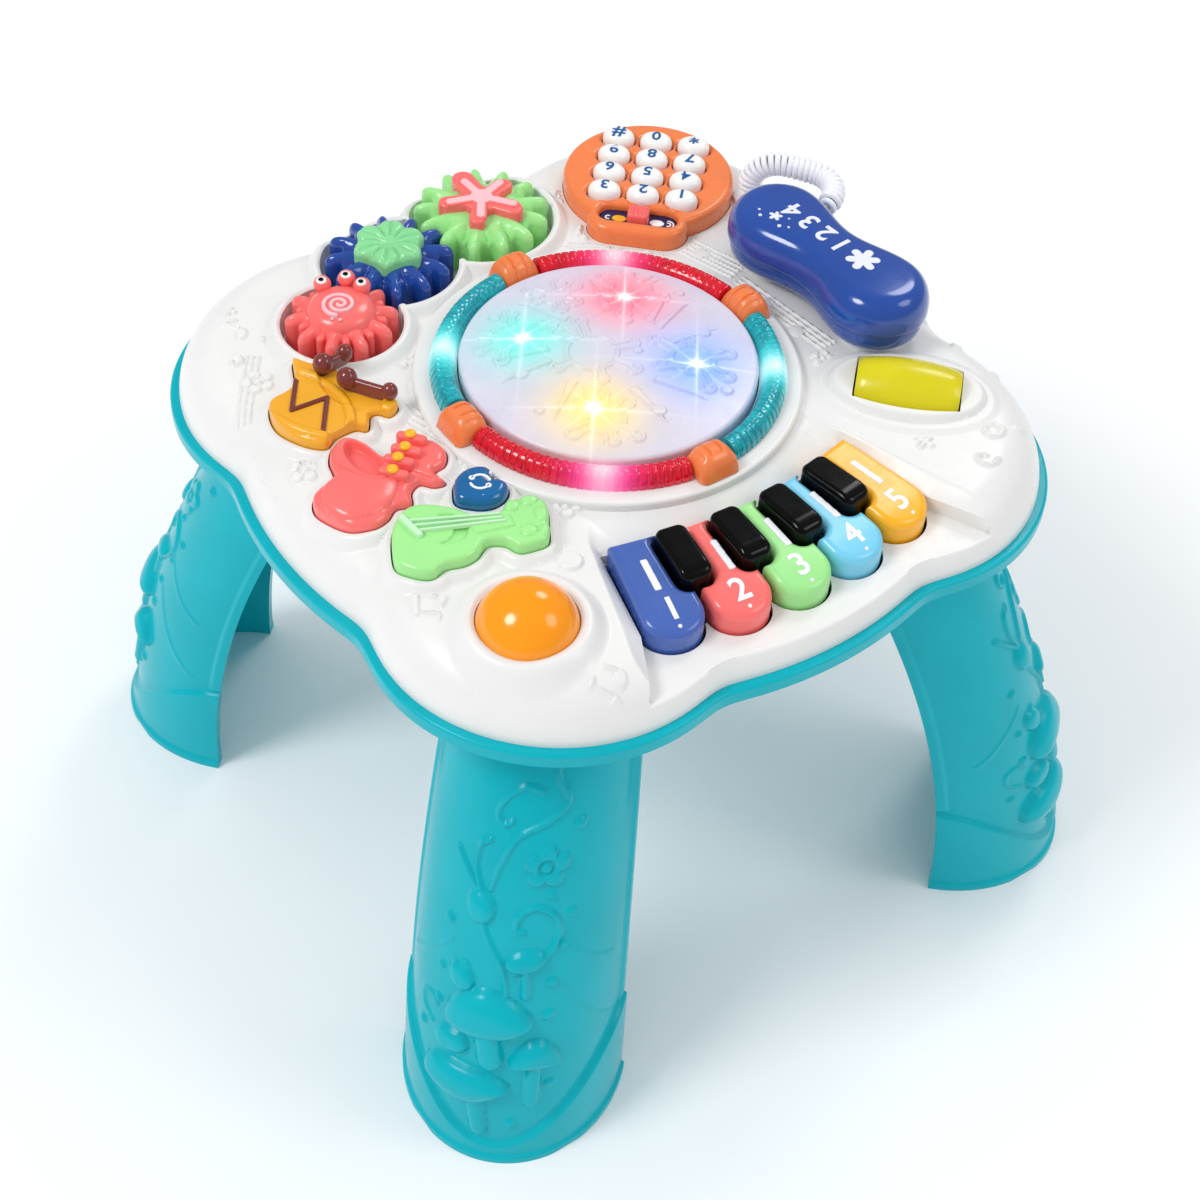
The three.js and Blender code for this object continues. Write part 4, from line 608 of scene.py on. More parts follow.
def slab(build, dist, lo, hi, h, top, bottom, edge=1.0, rise=None, tint=0, foot=True):
    """A plate with a rounded upper edge; rise(p) is added to its top"""
    def height(p):
        z = top - over(dist(p), edge)
        return z + rise(p) if rise else z
    p, tris, border = region(dist, lo, hi, h)
    inside = np.maximum(dist(p), 0)
    z = top - over(inside, edge) + (rise(p) if rise else 0)
    build.add(np.column_stack([p, z]), tris, surface_normals(height, p), tint)
    wall(build, p, z, border, dist, lambda q: np.full(len(q), float(bottom)), tint)
    if foot:
        build.add(np.column_stack([p, np.full(len(p), float(bottom))]), tris[:, ::-1], (0, 0, -1), tint)


def wall(build, p, z, border, dist, low, tint=0):
    """Faces from the border of a region straight down (or up) to low(p)"""
    ends, index = np.unique(border, return_inverse=True)
    index = index.reshape(-1, 2)
    q = p[ends]
    g = gradient(dist, q)
    g /= np.maximum(np.hypot(*g.T), 1e-9)[:, None]
    n = np.column_stack([-g, np.zeros(len(q))])
    upper = np.column_stack([q, z[ends]])
    lower = np.column_stack([q, low(q)])
    m = len(q)
    faces = np.column_stack([index[:, 1], index[:, 0], index[:, 0] + m, index[:, 1] + m])
    build.add(np.vstack([upper, lower]), faces, np.vstack([n, n]), tint)


def box_of(*points, margin=1.0):
    p = np.vstack([np.asarray(q, float).reshape(-1, 2) for q in points])
    return p.min(0) - margin, p.max(0) + margin


def place_object(name, data):
    obj = bpy.data.objects.new(name, data)
    bpy.context.scene.collection.objects.link(obj)
    return obj


def piece(name, build, materials, node, slot, body="table"):
    """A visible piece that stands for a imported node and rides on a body"""
    if not isinstance(materials, list):
        materials = [materials]
    obj = place_object(name, build.mesh(name, materials))
    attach(obj, body)
    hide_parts(node)


def glyph(build, text, size, place, angle=0.0, low=0.0, high=1.0, tint=0):
    """A character as a thin plate centred on a plan point, its foot at low and its face at high"""
    curve = bpy.data.curves.new("glyph", "FONT")
    curve.body = text
    curve.align_x = "CENTER"
    curve.align_y = "CENTER"
    curve.size = size
    curve.offset = size * 0.02
    curve.extrude = (high - low) / 2
    curve.resolution_u = 6
    obj = place_object("glyph", curve)
    graph = bpy.context.evaluated_depsgraph_get()
    mesh = obj.evaluated_get(graph).to_mesh()
    mesh.calc_loop_triangles()
    v = np.array([x.co[:] for x in mesh.vertices])
    t = np.array([x.vertices[:] for x in mesh.loop_triangles])
    obj.evaluated_get(graph).to_mesh_clear()
    bpy.data.objects.remove(obj)
    v[:, :2] -= (v[:, :2].min(0) + v[:, :2].max(0)) / 2
    v[:, 2] += (low + high) / 2
    v = np.column_stack([*placed(v[:, 0], v[:, 1], place, angle), v[:, 2]])
    flat = v[t].reshape(-1, 3)
    n = np.cross(flat[1::3] - flat[0::3], flat[2::3] - flat[0::3])
    build.add(flat, np.arange(len(flat)).reshape(-1, 3), np.repeat(n, 3, 0).reshape(-1, 3, 3), tint)

# Curved plan outlines and small forms that several pieces use


def bump(d, height, width):
    """Rounded swelling of a form at distance d inside its outline"""
    q = np.clip(np.asarray(d) / width, 0, 1)
    return height * np.sqrt(np.maximum(1 - (1 - q) ** 2, 0))


def curve_through(points, per=8):
    """Open smooth curve through the points"""
    p = np.asarray(points, float)
    ends = np.vstack([2 * p[0] - p[1], p, 2 * p[-1] - p[-2]])
    out = []
    for i in range(1, len(ends) - 2):
        a, b, c, d = ends[i - 1:i + 3]
        for k in range(per):
            t = k / per
            out.append(0.5 * (2 * b + (c - a) * t + (2 * a - 5 * b + 4 * c - d) * t ** 2
                              + (3 * b - a - 3 * c + d) * t ** 3))
    return np.array(out + [p[-1]])


def knob_top(build, centre, radius, z, height, tint=0, steps=28):
    """Rounded stud that stands on height z"""
    t = np.linspace(-30, 90, 12) * DEG
    revolve(build, [(radius * max(math.cos(a), 1e-3), z + height * (math.sin(a) + 0.5) / 1.5) for a in t],
            centre=centre, steps=steps, tint=tint)


def bar(build, a, b, half, z, low, tint=0, h=0.4):
    """Straight rod with round ends, lying at height z"""
    lo, hi = box_of(a, b, margin=half + 1)
    slab(build, pill(a, b, half), lo, hi, h, z, low, half * 0.95, tint=tint, foot=False)


def spin(build, origin, bearing, profile, steps=72, tint=0):
    """Profile of (radius, distance) turned round a level axle"""
    c, s = math.cos(bearing), math.sin(bearing)
    t = np.arange(steps) * TURN / steps
    rings = []
    for r, along in profile:
        across = np.outer(np.cos(t) * r, (-s, c, 0)) + np.outer(np.sin(t) * r, (0, 0, 1))
        rings.append(np.array(origin, float) + along * np.array([c, s, 0]) + across)
    loft(build, rings, tint=tint)


# Cord between its grommet and the handset

CORD_PATH = [
    [135, 73, 266.6], [135, 73, 269.5], [135, 73, 272], [135.8, 72.1, 278.1], [138, 69.4, 283.3],
    [141.3, 65.4, 286.8], [145.3, 60.7, 288], [149.5, 55.7, 287.6], [153.4, 50.6, 287.2],
    [156.6, 45.6, 286.8], [157.6, 41, 286.2], [156.4, 36, 285.7], [153.3, 31.6, 285.1],
    [148.9, 28.6, 284.6], [143.7, 27.4, 284], [141.3, 27.4, 284]]
CURLS, CURL_RADIUS, WIRE = 26, 4.4, 1.45
STRAIGHT_END = 2.4


def carried_sides(line):
    """Two directions across a line at each of its points, carried along it without twist"""
    tangent = np.gradient(line, axis=0)
    tangent /= np.linalg.norm(tangent, axis=1)[:, None]
    side = np.cross(tangent[0], (1.0, 0.3, 0))
    for t in tangent:
        side = unit(side - t * (side @ t))
        yield side, np.cross(t, side)


def cord_route(steps_per_turn):
    """Middle line of the wire: a helix round the path, straight at both ends"""
    path = curve_through(CORD_PATH, 12)
    along = np.concatenate([[0], np.cumsum(np.linalg.norm(np.diff(path, axis=0), axis=1))])
    total = along[-1]
    curled = np.linspace(STRAIGHT_END, total - STRAIGHT_END, CURLS * steps_per_turn + 1)
    spots = np.concatenate([[0], curled, [total]])
    line = np.column_stack([np.interp(spots, along, path[:, k]) for k in range(3)])
    out = []
    for point, spot, (side, up) in zip(line, spots, carried_sides(line)):
        turns = np.clip((spot - STRAIGHT_END) / (total - 2 * STRAIGHT_END), 0, 1) * CURLS
        ramp = ease(min(turns, CURLS - turns) / 1.5)
        angle = TURN * turns
        out.append(point + CURL_RADIUS * ramp * (math.cos(angle) * side + math.sin(angle) * up))
    return np.array(out)


def tube(build, line, radius, sides):
    turn = np.arange(sides) * TURN / sides
    rings = [point + radius * (np.outer(np.cos(turn), side) + np.outer(np.sin(turn), up))
             for point, (side, up) in zip(line, carried_sides(line))]
    loft(build, rings)
    end_cap(build, rings[0], True)
    end_cap(build, rings[-1])


def metres(point):
    return [float(v) * MM for v in point]


def make_cord():
    b = Build()
    route = cord_route(fine(20))
    tube(b, route, WIRE, fine(12))
    obj = place_object("handset_cord", b.mesh("handset_cord", [CORD]))
    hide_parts("curly_cord")
    metres(route[0])
    [metres(q) for q in route]
    metres(CORD_PATH[2])
    metres(CORD_PATH[-2])
    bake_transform(obj)


make_cord()

# Plan of the table, as in the CAD source

RIM = 237.0
EDGE_INSET, EDGE_RISE = 24.0, 26.0
PEDESTAL_R, PEDESTAL_Z = 88.0, 268.0
QUARTER = math.pi / 2
LOBE_AT, LOBE_R = 72.2, 57.3
SIDE_AT, SIDE_R = -14.8, 143
BLEND_POWER, OUTLINE_GROWTH = 39, 39.4
DECK_FROM = 5


def circle_reach(angle, x, y, radius):
    """Distance from the middle to the far side of a circle"""
    along = x * np.cos(angle) + y * np.sin(angle)
    inside = along ** 2 - (x * x + y * y - radius * radius)
    return np.where(inside > 0, along + np.sqrt(np.maximum(inside, 0)), 0)


def body_reach(angle):
    """Distance from the middle to the table's outline"""
    turn = angle - np.round(angle / QUARTER) * QUARTER
    lobe = np.maximum(circle_reach(turn, LOBE_AT, LOBE_AT, LOBE_R),
                      circle_reach(turn, LOBE_AT, -LOBE_AT, LOBE_R))
    side = circle_reach(turn, SIDE_AT, 0, SIDE_R)
    longer, shorter = np.maximum(lobe, side), np.minimum(lobe, side)
    return longer * (1 + (shorter / longer) ** BLEND_POWER) ** (1 / BLEND_POWER) + OUTLINE_GROWTH


def inset_of(p):
    return body_reach(np.arctan2(p[:, 1], p[:, 0])) - np.hypot(p[:, 0], p[:, 1])


def dome(p):
    t = np.clip((EDGE_INSET - inset_of(p)) / EDGE_INSET, 0, 1)
    return RIM + EDGE_RISE * np.sqrt(1 - t * t)


def body_loop(inset, z, count=720):
    a = np.arange(count) * TURN / count
    r = body_reach(a) - inset
    return level_ring(r * np.cos(a), r * np.sin(a), z)


# Keyboard bay: inner wall, outer edge of its sloped frame, floor and opening

ARC_CENTRE = (0, 87.5)


def arc_points(centre, radius, a0, a1, n):
    return [polar(radius, a, centre) for a in np.linspace(a0, a1, n) * DEG]


BAY_INNER = [(-76.7, -133.7), (-99, -176), (99, -176), (76.7, -133.7),
             *arc_points(ARC_CENTRE, 186.3, -69.65, -110.35, 25)]
BAY_OUTER = [(-74.4, -100.8), (-85.2, -132), (-97.7, -165.9), (-101.5, -176), (101.5, -176), (97.7, -165.9),
             (85.2, -132), (74.4, -100.8), (63.4, -70.3), *arc_points((0, 0), 88.3, -48, -132, 30),
             (-63.4, -70.3)]
bay_inner = shape(BAY_INNER)
bay_outer = shape(BAY_OUTER)


def bay_floor(p):
    return 248.6 + (252.5 - 248.6) * (p[:, 1] + 176) / 92


KEY_ARC, KEY_PITCH, KEY_FAN, KEY_LENGTH = 214, 28.6, 6.3 * DEG, 53
KEY_NOSE = -14.5
CAP_ARC, CAP_PITCH = 204, 27


def key_spot(step, radius, pitch):
    x = step * pitch
    return (x, ARC_CENTRE[1] - math.sqrt(radius ** 2 - x ** 2)), step * KEY_FAN


KEYS = [key_spot(i - 2, KEY_ARC, KEY_PITCH) for i in range(5)]
CAPS = [key_spot(i - 1.5, CAP_ARC, CAP_PITCH) for i in range(4)]
KEY_ROUND = [math.pi + math.pi * k / 40 for k in range(41)]
KEY_OUTLINE = [(-12.2, 26.5), *[(13.7 * math.cos(a), KEY_NOSE + 12 * math.sin(a)) for a in KEY_ROUND],
               (12.2, 26.5)]
key_shape = shape(KEY_OUTLINE)


def opening_middle():
    """Outline through the keys' rear corners and the middles of their noses"""
    spots = [(i, -13.4, 27.7) for i in range(5)] + [(4, 13.4, 27.7), (4, 13.4, KEY_NOSE)]
    spots += [(i, 0, KEY_NOSE) for i in (4, 3, 2, 1, 0)] + [(0, -13.4, KEY_NOSE)]
    return [placed(x, y, *KEYS[i]) for i, x, y in spots]


key_opening = union(shape(opening_middle()), *[turned(grown(key_shape, 1.2), c, a) for c, a in KEYS])

# Gears: pitch radius for each tooth, height of a tooth over it, and room round the tips

TOOTH_PITCH, TOOTH_TIP, WELL_ROOM = 2.25, 3.4, 2.4
GREEN_TEETH, BLUE_TEETH, CRAB_TEETH = 13, 12, 10
TO_BLUE, TO_CRAB = 187.1 * DEG, 213 * DEG
GREEN_AT = (12.7, 125.4)
BLUE_AT = polar((GREEN_TEETH + BLUE_TEETH) * TOOTH_PITCH, TO_BLUE, GREEN_AT)
CRAB_AT = polar((BLUE_TEETH + CRAB_TEETH) * TOOTH_PITCH, TO_CRAB, BLUE_AT)
GEARS = [(GREEN_AT, GREEN_TEETH), (BLUE_AT, BLUE_TEETH), (CRAB_AT, CRAB_TEETH)]


def gear_phases():
    """Turn of each gear at rest, with its teeth in its neighbour's gaps"""
    def meet(phase, teeth, following, bearing):
        share = math.fmod((bearing - phase) / (TURN / teeth), 1)
        return bearing + math.pi + (share + 0.5) * (TURN / following)
    green = 0.3 * TURN / GREEN_TEETH
    blue = meet(green, GREEN_TEETH, BLUE_TEETH, TO_BLUE)
    return green, blue, meet(blue, BLUE_TEETH, CRAB_TEETH, TO_CRAB)


PHASES = gear_phases()


def bore(teeth):
    return TOOTH_PITCH * teeth + TOOTH_TIP + WELL_ROOM


gear_wells = union(*[disc(c, bore(t)) for c, t in GEARS])

# Instrument outlines: shares of each one's size


def figure(rows, size, centre):
    return smooth_loop([(centre[0] + x * size, centre[1] + y * size) for x, y in rows])


DRUM = figure([
    (-0.5, -0.02), (-0.47, 0.15), (-0.39, 0.26), (-0.23, 0.29), (-0.1, 0.36), (-0.04, 0.5), (0.04, 0.65),
    (0.12, 0.58), (0.19, 0.45), (0.35, 0.44), (0.42, 0.51), (0.49, 0.43), (0.42, 0.34), (0.29, 0.31),
    (0.36, 0.15), (0.32, -0.04), (0.4, -0.17), (0.49, -0.19), (0.49, -0.33), (0.38, -0.39), (0.31, -0.31),
    (0.23, -0.31), (0.13, -0.44), (0.04, -0.38), (-0.15, -0.39), (-0.27, -0.45), (-0.39, -0.35),
    (-0.47, -0.19)], 52, (-119, 45))
SAX = figure([
    (-0.52, -0.06), (-0.5, 0.06), (-0.41, 0.12), (-0.28, 0.16), (-0.23, 0.31), (-0.14, 0.42), (-0.03, 0.42),
    (0.05, 0.3), (0.09, 0.12), (0.23, 0.18), (0.36, 0.19), (0.46, 0.11), (0.48, -0.02), (0.41, -0.12),
    (0.31, -0.15), (0.32, -0.27), (0.24, -0.26), (0.17, -0.19), (0.08, -0.23), (0.02, -0.33),
    (-0.09, -0.31), (-0.19, -0.37), (-0.31, -0.38), (-0.44, -0.29)], 64, (-122, -7))
GUITAR = figure([
    (-0.49, 0), (-0.45, 0.12), (-0.35, 0.27), (-0.22, 0.35), (-0.1, 0.32), (0.02, 0.21), (0.09, 0.1),
    (0.22, 0.04), (0.31, 0.08), (0.44, 0.05), (0.5, -0.04), (0.42, -0.19), (0.35, -0.29), (0.26, -0.29),
    (0.17, -0.26), (0.13, -0.17), (0.04, -0.12), (-0.06, -0.17), (-0.15, -0.18), (-0.26, -0.15),
    (-0.36, -0.17), (-0.44, -0.11)], 72, (-110, -57))


def heart_loop():
    a = np.arange(72) * TURN / 72
    notch = 1 - 0.4 * np.exp(-((a - math.pi) / 0.42) ** 2)
    point = 1 + 0.16 * np.exp(-(np.minimum(a, TURN - a) / 0.36) ** 2)
    r = 11.8 * notch * point
    b = a + 188 * DEG
    return np.column_stack([-91 + r * np.cos(b), -36 + r * np.sin(b)])


HEART_LOOP = heart_loop()
gear_room = union(*[disc(c, bore(t) + 6.6) for c, t in GEARS])
drum = less(shape(DRUM), gear_room)
sax, guitar, heart = shape(SAX), shape(GUITAR), shape(HEART_LOOP)
figures = union(drum, sax, guitar, heart)

BALL_AT, BALL_Z, BALL_R = (-116.2, -109.7), 262.0, 22.0
ROLLER_AT, ROLLER_Z, ROLLER_ANGLE = (109, -80.3), 261.5, -45 * DEG
ROLLER_HALF = 23.5
PAD_AT, PAD_ANGLE, PAD_R, PANEL_SHIFT = (98.5, 106.5), 46 * DEG, 42, -34.5
HANDSET_AT, HANDSET_ANGLE, LOBE_SHIFT = (119.6, -5.7), 5 * DEG, 33
GROMMET_AT = (135, 73)
ball_mouth = disc(BALL_AT, 21.6)


def barrel(p):
    """Mouth round the roller: straight ends, and long sides that bow out"""
    x, y = np.abs(p[:, 0]), np.abs(p[:, 1])
    return np.minimum(24.3 - x, 14.2 + 3.0 * (1 - (x / ROLLER_HALF) ** 2) - y)


roller_mouth = turned(barrel, ROLLER_AT, ROLLER_ANGLE)
roller_oval = turned(oval(35, 21.5), ROLLER_AT, ROLLER_ANGLE)
panel = turned(block(13.5, 24.5, 12), (PANEL_SHIFT, 0))
pad_plan = union(disc(PAD_AT, PAD_R), turned(panel, PAD_AT, PAD_ANGLE))

# Relief on the white deck

FAR = -8.0


def flower(centre, radius, turn=0.0):
    petals = [disc(polar(radius * 0.62, turn + TURN * k / 5, centre), radius * 0.4) for k in range(5)]
    return less(union(*petals, disc(centre, radius * 0.5)), hoop(centre, radius * 0.3, radius * 0.06))


def sized(dist, at, size, angle=0.0):
    """A form of size 1 made larger, turned and moved"""
    return turned(lambda p: dist(p / size) * size, at, angle)


single_note = union(turned(oval(0.3, 0.22), (-0.12, -0.42), 0.4), pill((0.14, -0.4), (0.14, 0.5), 0.07),
                    pill((0.14, 0.48), (0.46, 0.14), 0.09))
double_note = union(turned(oval(0.26, 0.19), (-0.52, -0.45), 0.4),
                    turned(oval(0.26, 0.19), (0.14, -0.35), 0.4),
                    pill((-0.32, -0.42), (-0.32, 0.4), 0.06), pill((0.34, -0.32), (0.34, 0.5), 0.06),
                    pill((-0.32, 0.4), (0.34, 0.5), 0.11))
curl = stroke([polar(0.5 * (0.25 + 0.75 * v), 5.2 * v) for v in np.linspace(0, 1, 9)], 0.09)


def plus_sign(size):
    return union(block(size * 0.16, size * 0.5, 0.6), block(size * 0.5, size * 0.16, 0.6))


def staff(start, end, gap, lines):
    a, b = np.array(start, float), np.array(end, float)
    side = unit(np.array([a[1] - b[1], b[0] - a[0]]))
    shifts = [side * gap * (k - (lines - 1) / 2) for k in range(lines)]
    return union(*[pill(a + shift, b + shift, 0.42) for shift in shifts])


def bounded(dist, centre, radius):
    """The distance near a point, and a flat value beyond, where it has no say"""
    c = np.array(centre, float)

    def near_only(p):
        d = np.full(len(p), FAR)
        near = np.hypot(*(p - c).T) < radius
        if near.any():
            d[near] = dist(p[near])
        return d
    return near_only


RELIEF = [bounded(flower(c, r, t), c, r + 4) for c, r, t in (
    ((-135, 79.4), 7.6, 0.2), ((-145.4, 18.9), 7.6, 0.9), ((-63.6, -59.9), 7.2, 0.5),
    ((-71.4, 58.3), 6.6, 0.1), ((-84, 12), 5.6, 0.6), ((150.5, -36.5), 7.8, 0.3), ((91, -42), 6.0, 0.8),
    ((52, 93), 6.2, 0.2), ((58, 124), 6.0, 0.7), ((-66, 78), 5.4, 1.1), ((-84, -14.5), 4.6, 0.2),
    ((-97, 103), 5.0, 0.5), ((-139, -32), 5.0, 0.4))]
RELIEF += [bounded(disc(c, r), c, r + 4) for c, r in (
    ((-80.6, -88), 5.6), ((152, -66), 3.0), ((-78, 40), 3.4), ((70, 66), 3.0), ((-146, 47), 1.8),
    ((158, -88), 2.4), ((138, -124), 3.2), ((-118, 104), 2.6), ((-40, 79), 2.6), ((150, 44), 3.0))]
RELIEF += [bounded(sized(kind, at, size, angle), at, size + 2) for kind, at, size, angle in (
    (single_note, (-127, 118), 13, 0.6), (double_note, (-142, -78), 14, 0.9),
    (double_note, (-103.4, -148), 14, 0.7),
    (single_note, (128, -44.5), 10, 0.7), (single_note, (-113, 92), 8, 0.3), (curl, (109.6, -132.8), 12, 0.5),
    (curl, (-137, 97), 9, 2.2), (curl, (56, 76), 9, 1.0))]
RELIEF += [bounded(turned(plus_sign(size), at, angle), at, size + 1) for at, size, angle in (
    ((93.5, -111.1), 9, 0.3), ((-122, 130), 7, 0.7))]
RELIEF.append(bounded(hoop((125, -121), 3.96, 1.43), (125, -121), 12))
STAVES = [((-96, 48), (-78, -18), 3.0, 4), ((-76, -8), (-93, -62), 3.0, 4), ((-88, 70), (-60, 66), 2.6, 4),
          ((30, 92.5), (74, 60), 2.8, 4), ((86, 64), (97, 30), 3.0, 5), ((92, 24), (99, -36), 2.8, 4),
          ((-110, -86), (-92, -84), 2.6, 4), ((-132, -40), (-143, -66), 2.6, 4),
          ((150, 40), (158, -24), 3.0, 3), ((-15, 92), (-52, 84), 2.6, 3), ((-152, 62), (-128, 96), 2.8, 3)]
RELIEF_LINES = [bounded(staff(a, b, gap, lines), ((a[0] + b[0]) / 2, (a[1] + b[1]) / 2),
                        math.dist(a, b) / 2 + 10)
                for a, b, gap, lines in STAVES]
BUMPS = [((-76, 27), 5.5), ((-69, 34), 4), ((-101, 78), 4.5), ((-62, 90), 4), ((-88, 84), 5),
         ((36, 84), 4.5), ((62, 88), 5),
         ((90, 50), 4.5), ((94, 4), 4), ((93, -20), 4.5), ((-99, -20), 3.4), ((-80, -50), 4),
         ((-60, -77), 3.5), ((84, -57), 4), ((-143, 0), 3.6), ((146, 60), 4.6), ((155, 14), 4)]


def highest(dists, p):
    return np.maximum.reduce([dist(p) for dist in dists])


def relief_height(p):
    z = np.maximum(1.9 * ease((highest(RELIEF, p) + 0.6) / 1.7),
                   1.2 * ease((highest(RELIEF_LINES, p) + 0.7) / 1.3))
    for c, r in BUMPS:
        q = np.clip(1 - ((p[:, 0] - c[0]) ** 2 + (p[:, 1] - c[1]) ** 2) / r ** 2, 0, 1)
        z = np.maximum(z, 1.3 * np.sqrt(q) * ease(q * 4))
    return z


def collar(q, crest, fall, dip):
    """Rounded wall at distance q outside a round opening, of height 1 at its crest"""
    inner = 1 - dip * ((crest - np.clip(q, 0, crest)) / crest) ** 2
    return np.where(q < crest, inner, 0.5 * (1 + np.cos(math.pi * np.clip((q - crest) / fall, 0, 1))))


def deck_height(p):
    isle = figures(p) + 6.2
    gaps = [-disc(c, bore(t))(p) for c, t in GEARS]
    ball_gap = -ball_mouth(p)
    d_roller = roller_oval(p)
    d_in, d_out = np.clip(-bay_inner(p), 0, None), bay_outer(p)
    # No relief on the islands, collars and frames, nor along the rim
    bare = [isle, 15 - ball_gap, d_roller + 9, pad_plan(p) + 3, d_out + 1.5, *[8.5 - q for q in gaps]]
    quiet = np.clip(np.maximum(np.maximum.reduce(bare) / 1.5, (8 - inset_of(p)) / 8), 0, 1)
    base = dome(p)
    lip = 0.6 * ease((PEDESTAL_R + 3.5 - np.hypot(p[:, 0], p[:, 1])) / 3.5)
    z = base + lip + relief_height(p) * (1 - quiet) + 3.9 * ease(isle / 4.4)
    walls = [5.5 * collar(q, 2, 5.6, 0.2) for q in gaps]
    walls += [6.5 * collar(ball_gap, 3.2, 9.4, 0.22), 5.2 * ease((d_roller + 2.6) / 4.6),
              1.6 * ease((d_roller + 8.0) / 4.5)]
    z = np.maximum(z, base + np.maximum.reduce(walls))
    slope = 257 + 6.6 * d_in / np.maximum(d_in + np.clip(d_out, 0, None), 1e-6)
    return np.where(d_out > -2, softmin(z, np.where(d_out > 0, slope, 263.6 - d_out * 2), 0.9), z)


def shell_cut(p):
    """Distance from every edge of the deck's surface, positive on the deck"""
    return np.minimum.reduce([
        inset_of(p) - DECK_FROM, np.hypot(p[:, 0], p[:, 1]) - PEDESTAL_R, -gear_wells(p), -ball_mouth(p),
        -roller_mouth(p), -pad_plan(p) - 0.3, -figures(p) - 0.6, -bay_inner(p)])


WELL_FLOOR, ROLLER_FLOOR = 253.0, 246.0


def well_depth(p):
    """Floor under each edge of the deck"""
    low = np.full(len(p), 258.0)
    for dist, from_edge, floor in ((gear_wells, -0.5, WELL_FLOOR), (ball_mouth, -0.5, 254.0),
                                   (roller_mouth, -0.5, ROLLER_FLOOR), (pad_plan, -1.0, 262.0)):
        low = np.where(dist(p) > from_edge, floor, low)
    return np.where(bay_inner(p) > -1.5, bay_floor(p) - 0.5, low)


FLOOR_NORMAL = (0, -0.042, 1)
SEAM_INSET = 5.02


def rolled_edge(b):
    """Rows of the outer edge from the rim up, with a lip tucked under the deck that closes the seam"""
    count = fine(1200)
    angles = np.arange(count) * TURN / count
    reach = body_reach(angles)
    outward = np.column_stack([np.cos(angles), np.sin(angles)])
    rows, normals = [], []
    for inset in EDGE_INSET * (1 - np.cos(np.linspace(0, math.acos(1 - SEAM_INSET / EDGE_INSET), 13))):
        q = (reach - inset)[:, None] * outward
        in_bay, base, floor = bay_inner(q) > 0, dome(q), bay_floor(q)
        rows.append(np.column_stack([q, np.where(in_bay, np.minimum(base, floor), deck_height(q))]))
        # The normal of a quarter ellipse in the radial plane
        t = (EDGE_INSET - inset) / EDGE_INSET
        tangent = np.roll(q, -1, 0) - np.roll(q, 1, 0)
        side = np.column_stack([tangent[:, 1], -tangent[:, 0]])
        side /= np.hypot(*side.T)[:, None]
        steep = EDGE_RISE / EDGE_INSET * t / max(math.sqrt(max(1 - t * t, 0)), 0.02)
        n = np.column_stack([side * steep, np.ones(count)])
        n[in_bay & (floor < base)] = FLOOR_NORMAL
        normals.append(n / np.linalg.norm(n, axis=1)[:, None])
    rows.append(rows[-1] - level_ring(*0.8 * outward.T, 0.5))
    normals.append(normals[-1])
    b.add(np.vstack(rows), grid_faces(len(rows), count, True), np.vstack(normals))


def bay_surface(b):
    """Floor of the key bay and the low wall round its opening"""
    floor_cut = less(both(bay_inner, lambda q: inset_of(q) - DECK_FROM), key_opening)
    p, tris, border = region(floor_cut, (-104, -172), (104, -84), 1.2)
    z = bay_floor(p)
    b.add(np.column_stack([p, z]), tris, surface_normals(bay_floor, p))
    hole = key_opening(p[border].mean(1)) > -0.4
    wall(b, p, z, border[hole], floor_cut, lambda q: bay_floor(q) - 3.2)


def round_post(b, centre, radius, low, high, edge, steps, count):
    """Upright pin with a rounded top edge"""
    inner = radius - edge
    revolve(b, [(radius, low), (radius, high - edge)], arc(inner, high - edge, edge, 0, 90, count),
            [(inner, high), (0.01, high)], centre=centre, steps=steps)


def make_top_shell():
    b = Build()
    p, tris, border = region(shell_cut, (-172, -172), (172, 172), fine(0.72))
    z = deck_height(p)
    b.add(np.column_stack([p, z]), tris, surface_normals(deck_height, p))
    middle = p[border].mean(1)
    outer = (inset_of(middle) < DECK_FROM + 1) & (bay_inner(middle) < -1.2)
    ring = np.hypot(*middle.T) < PEDESTAL_R + 1
    wall(b, p, z, border[~outer & ~ring], shell_cut, well_depth)
    rolled_edge(b)
    bay_surface(b)
    p, tris, border = region(less(gear_wells, *[disc(c, 4.3) for c, _ in GEARS]), (-120, 55), (50, 165), 3)
    b.add(level_ring(*p.T, WELL_FLOOR), tris, (0, 0, 1))
    for c, r, low in ((BALL_AT, 22.8, 250), (ROLLER_AT, 30, ROLLER_FLOOR)):
        revolve(b, [(r, low), (0.01, low)], centre=c, steps=48)
    revolve(b, [(PEDESTAL_R, 262.5), (PEDESTAL_R, 266.2)], arc(86.2, 266.2, 1.8, 0, 90, 7),
            [(86.2, PEDESTAL_Z), (68, PEDESTAL_Z)], [(68, PEDESTAL_Z), (68, 262)], steps=180)
    revolve(b, [(9.2, 262.8), (8.6, 263.6), (7.4, 263.9)], centre=GROMMET_AT, steps=40)
    for side in (-LOBE_SHIFT, LOBE_SHIFT):
        round_post(b, placed(0, side, HANDSET_AT, HANDSET_ANGLE), 16, 262.5, 270.4, 1.2, 64, 5)
    piece("top_shell_moulding", b, WHITE, "top_shell", "white_plastic")


def leg_point(phi, z, grow):
    """Point of a leg's curved section, from the table's middle and across, in the leg's own frame"""
    inside = 188 - z * z / 690
    outside = 247 - 0.1 * z - z * z / 870
    half = 49 - z * z / 5400
    return inside + (outside + grow - inside) * np.cos(phi), (half + grow) * np.sin(phi)


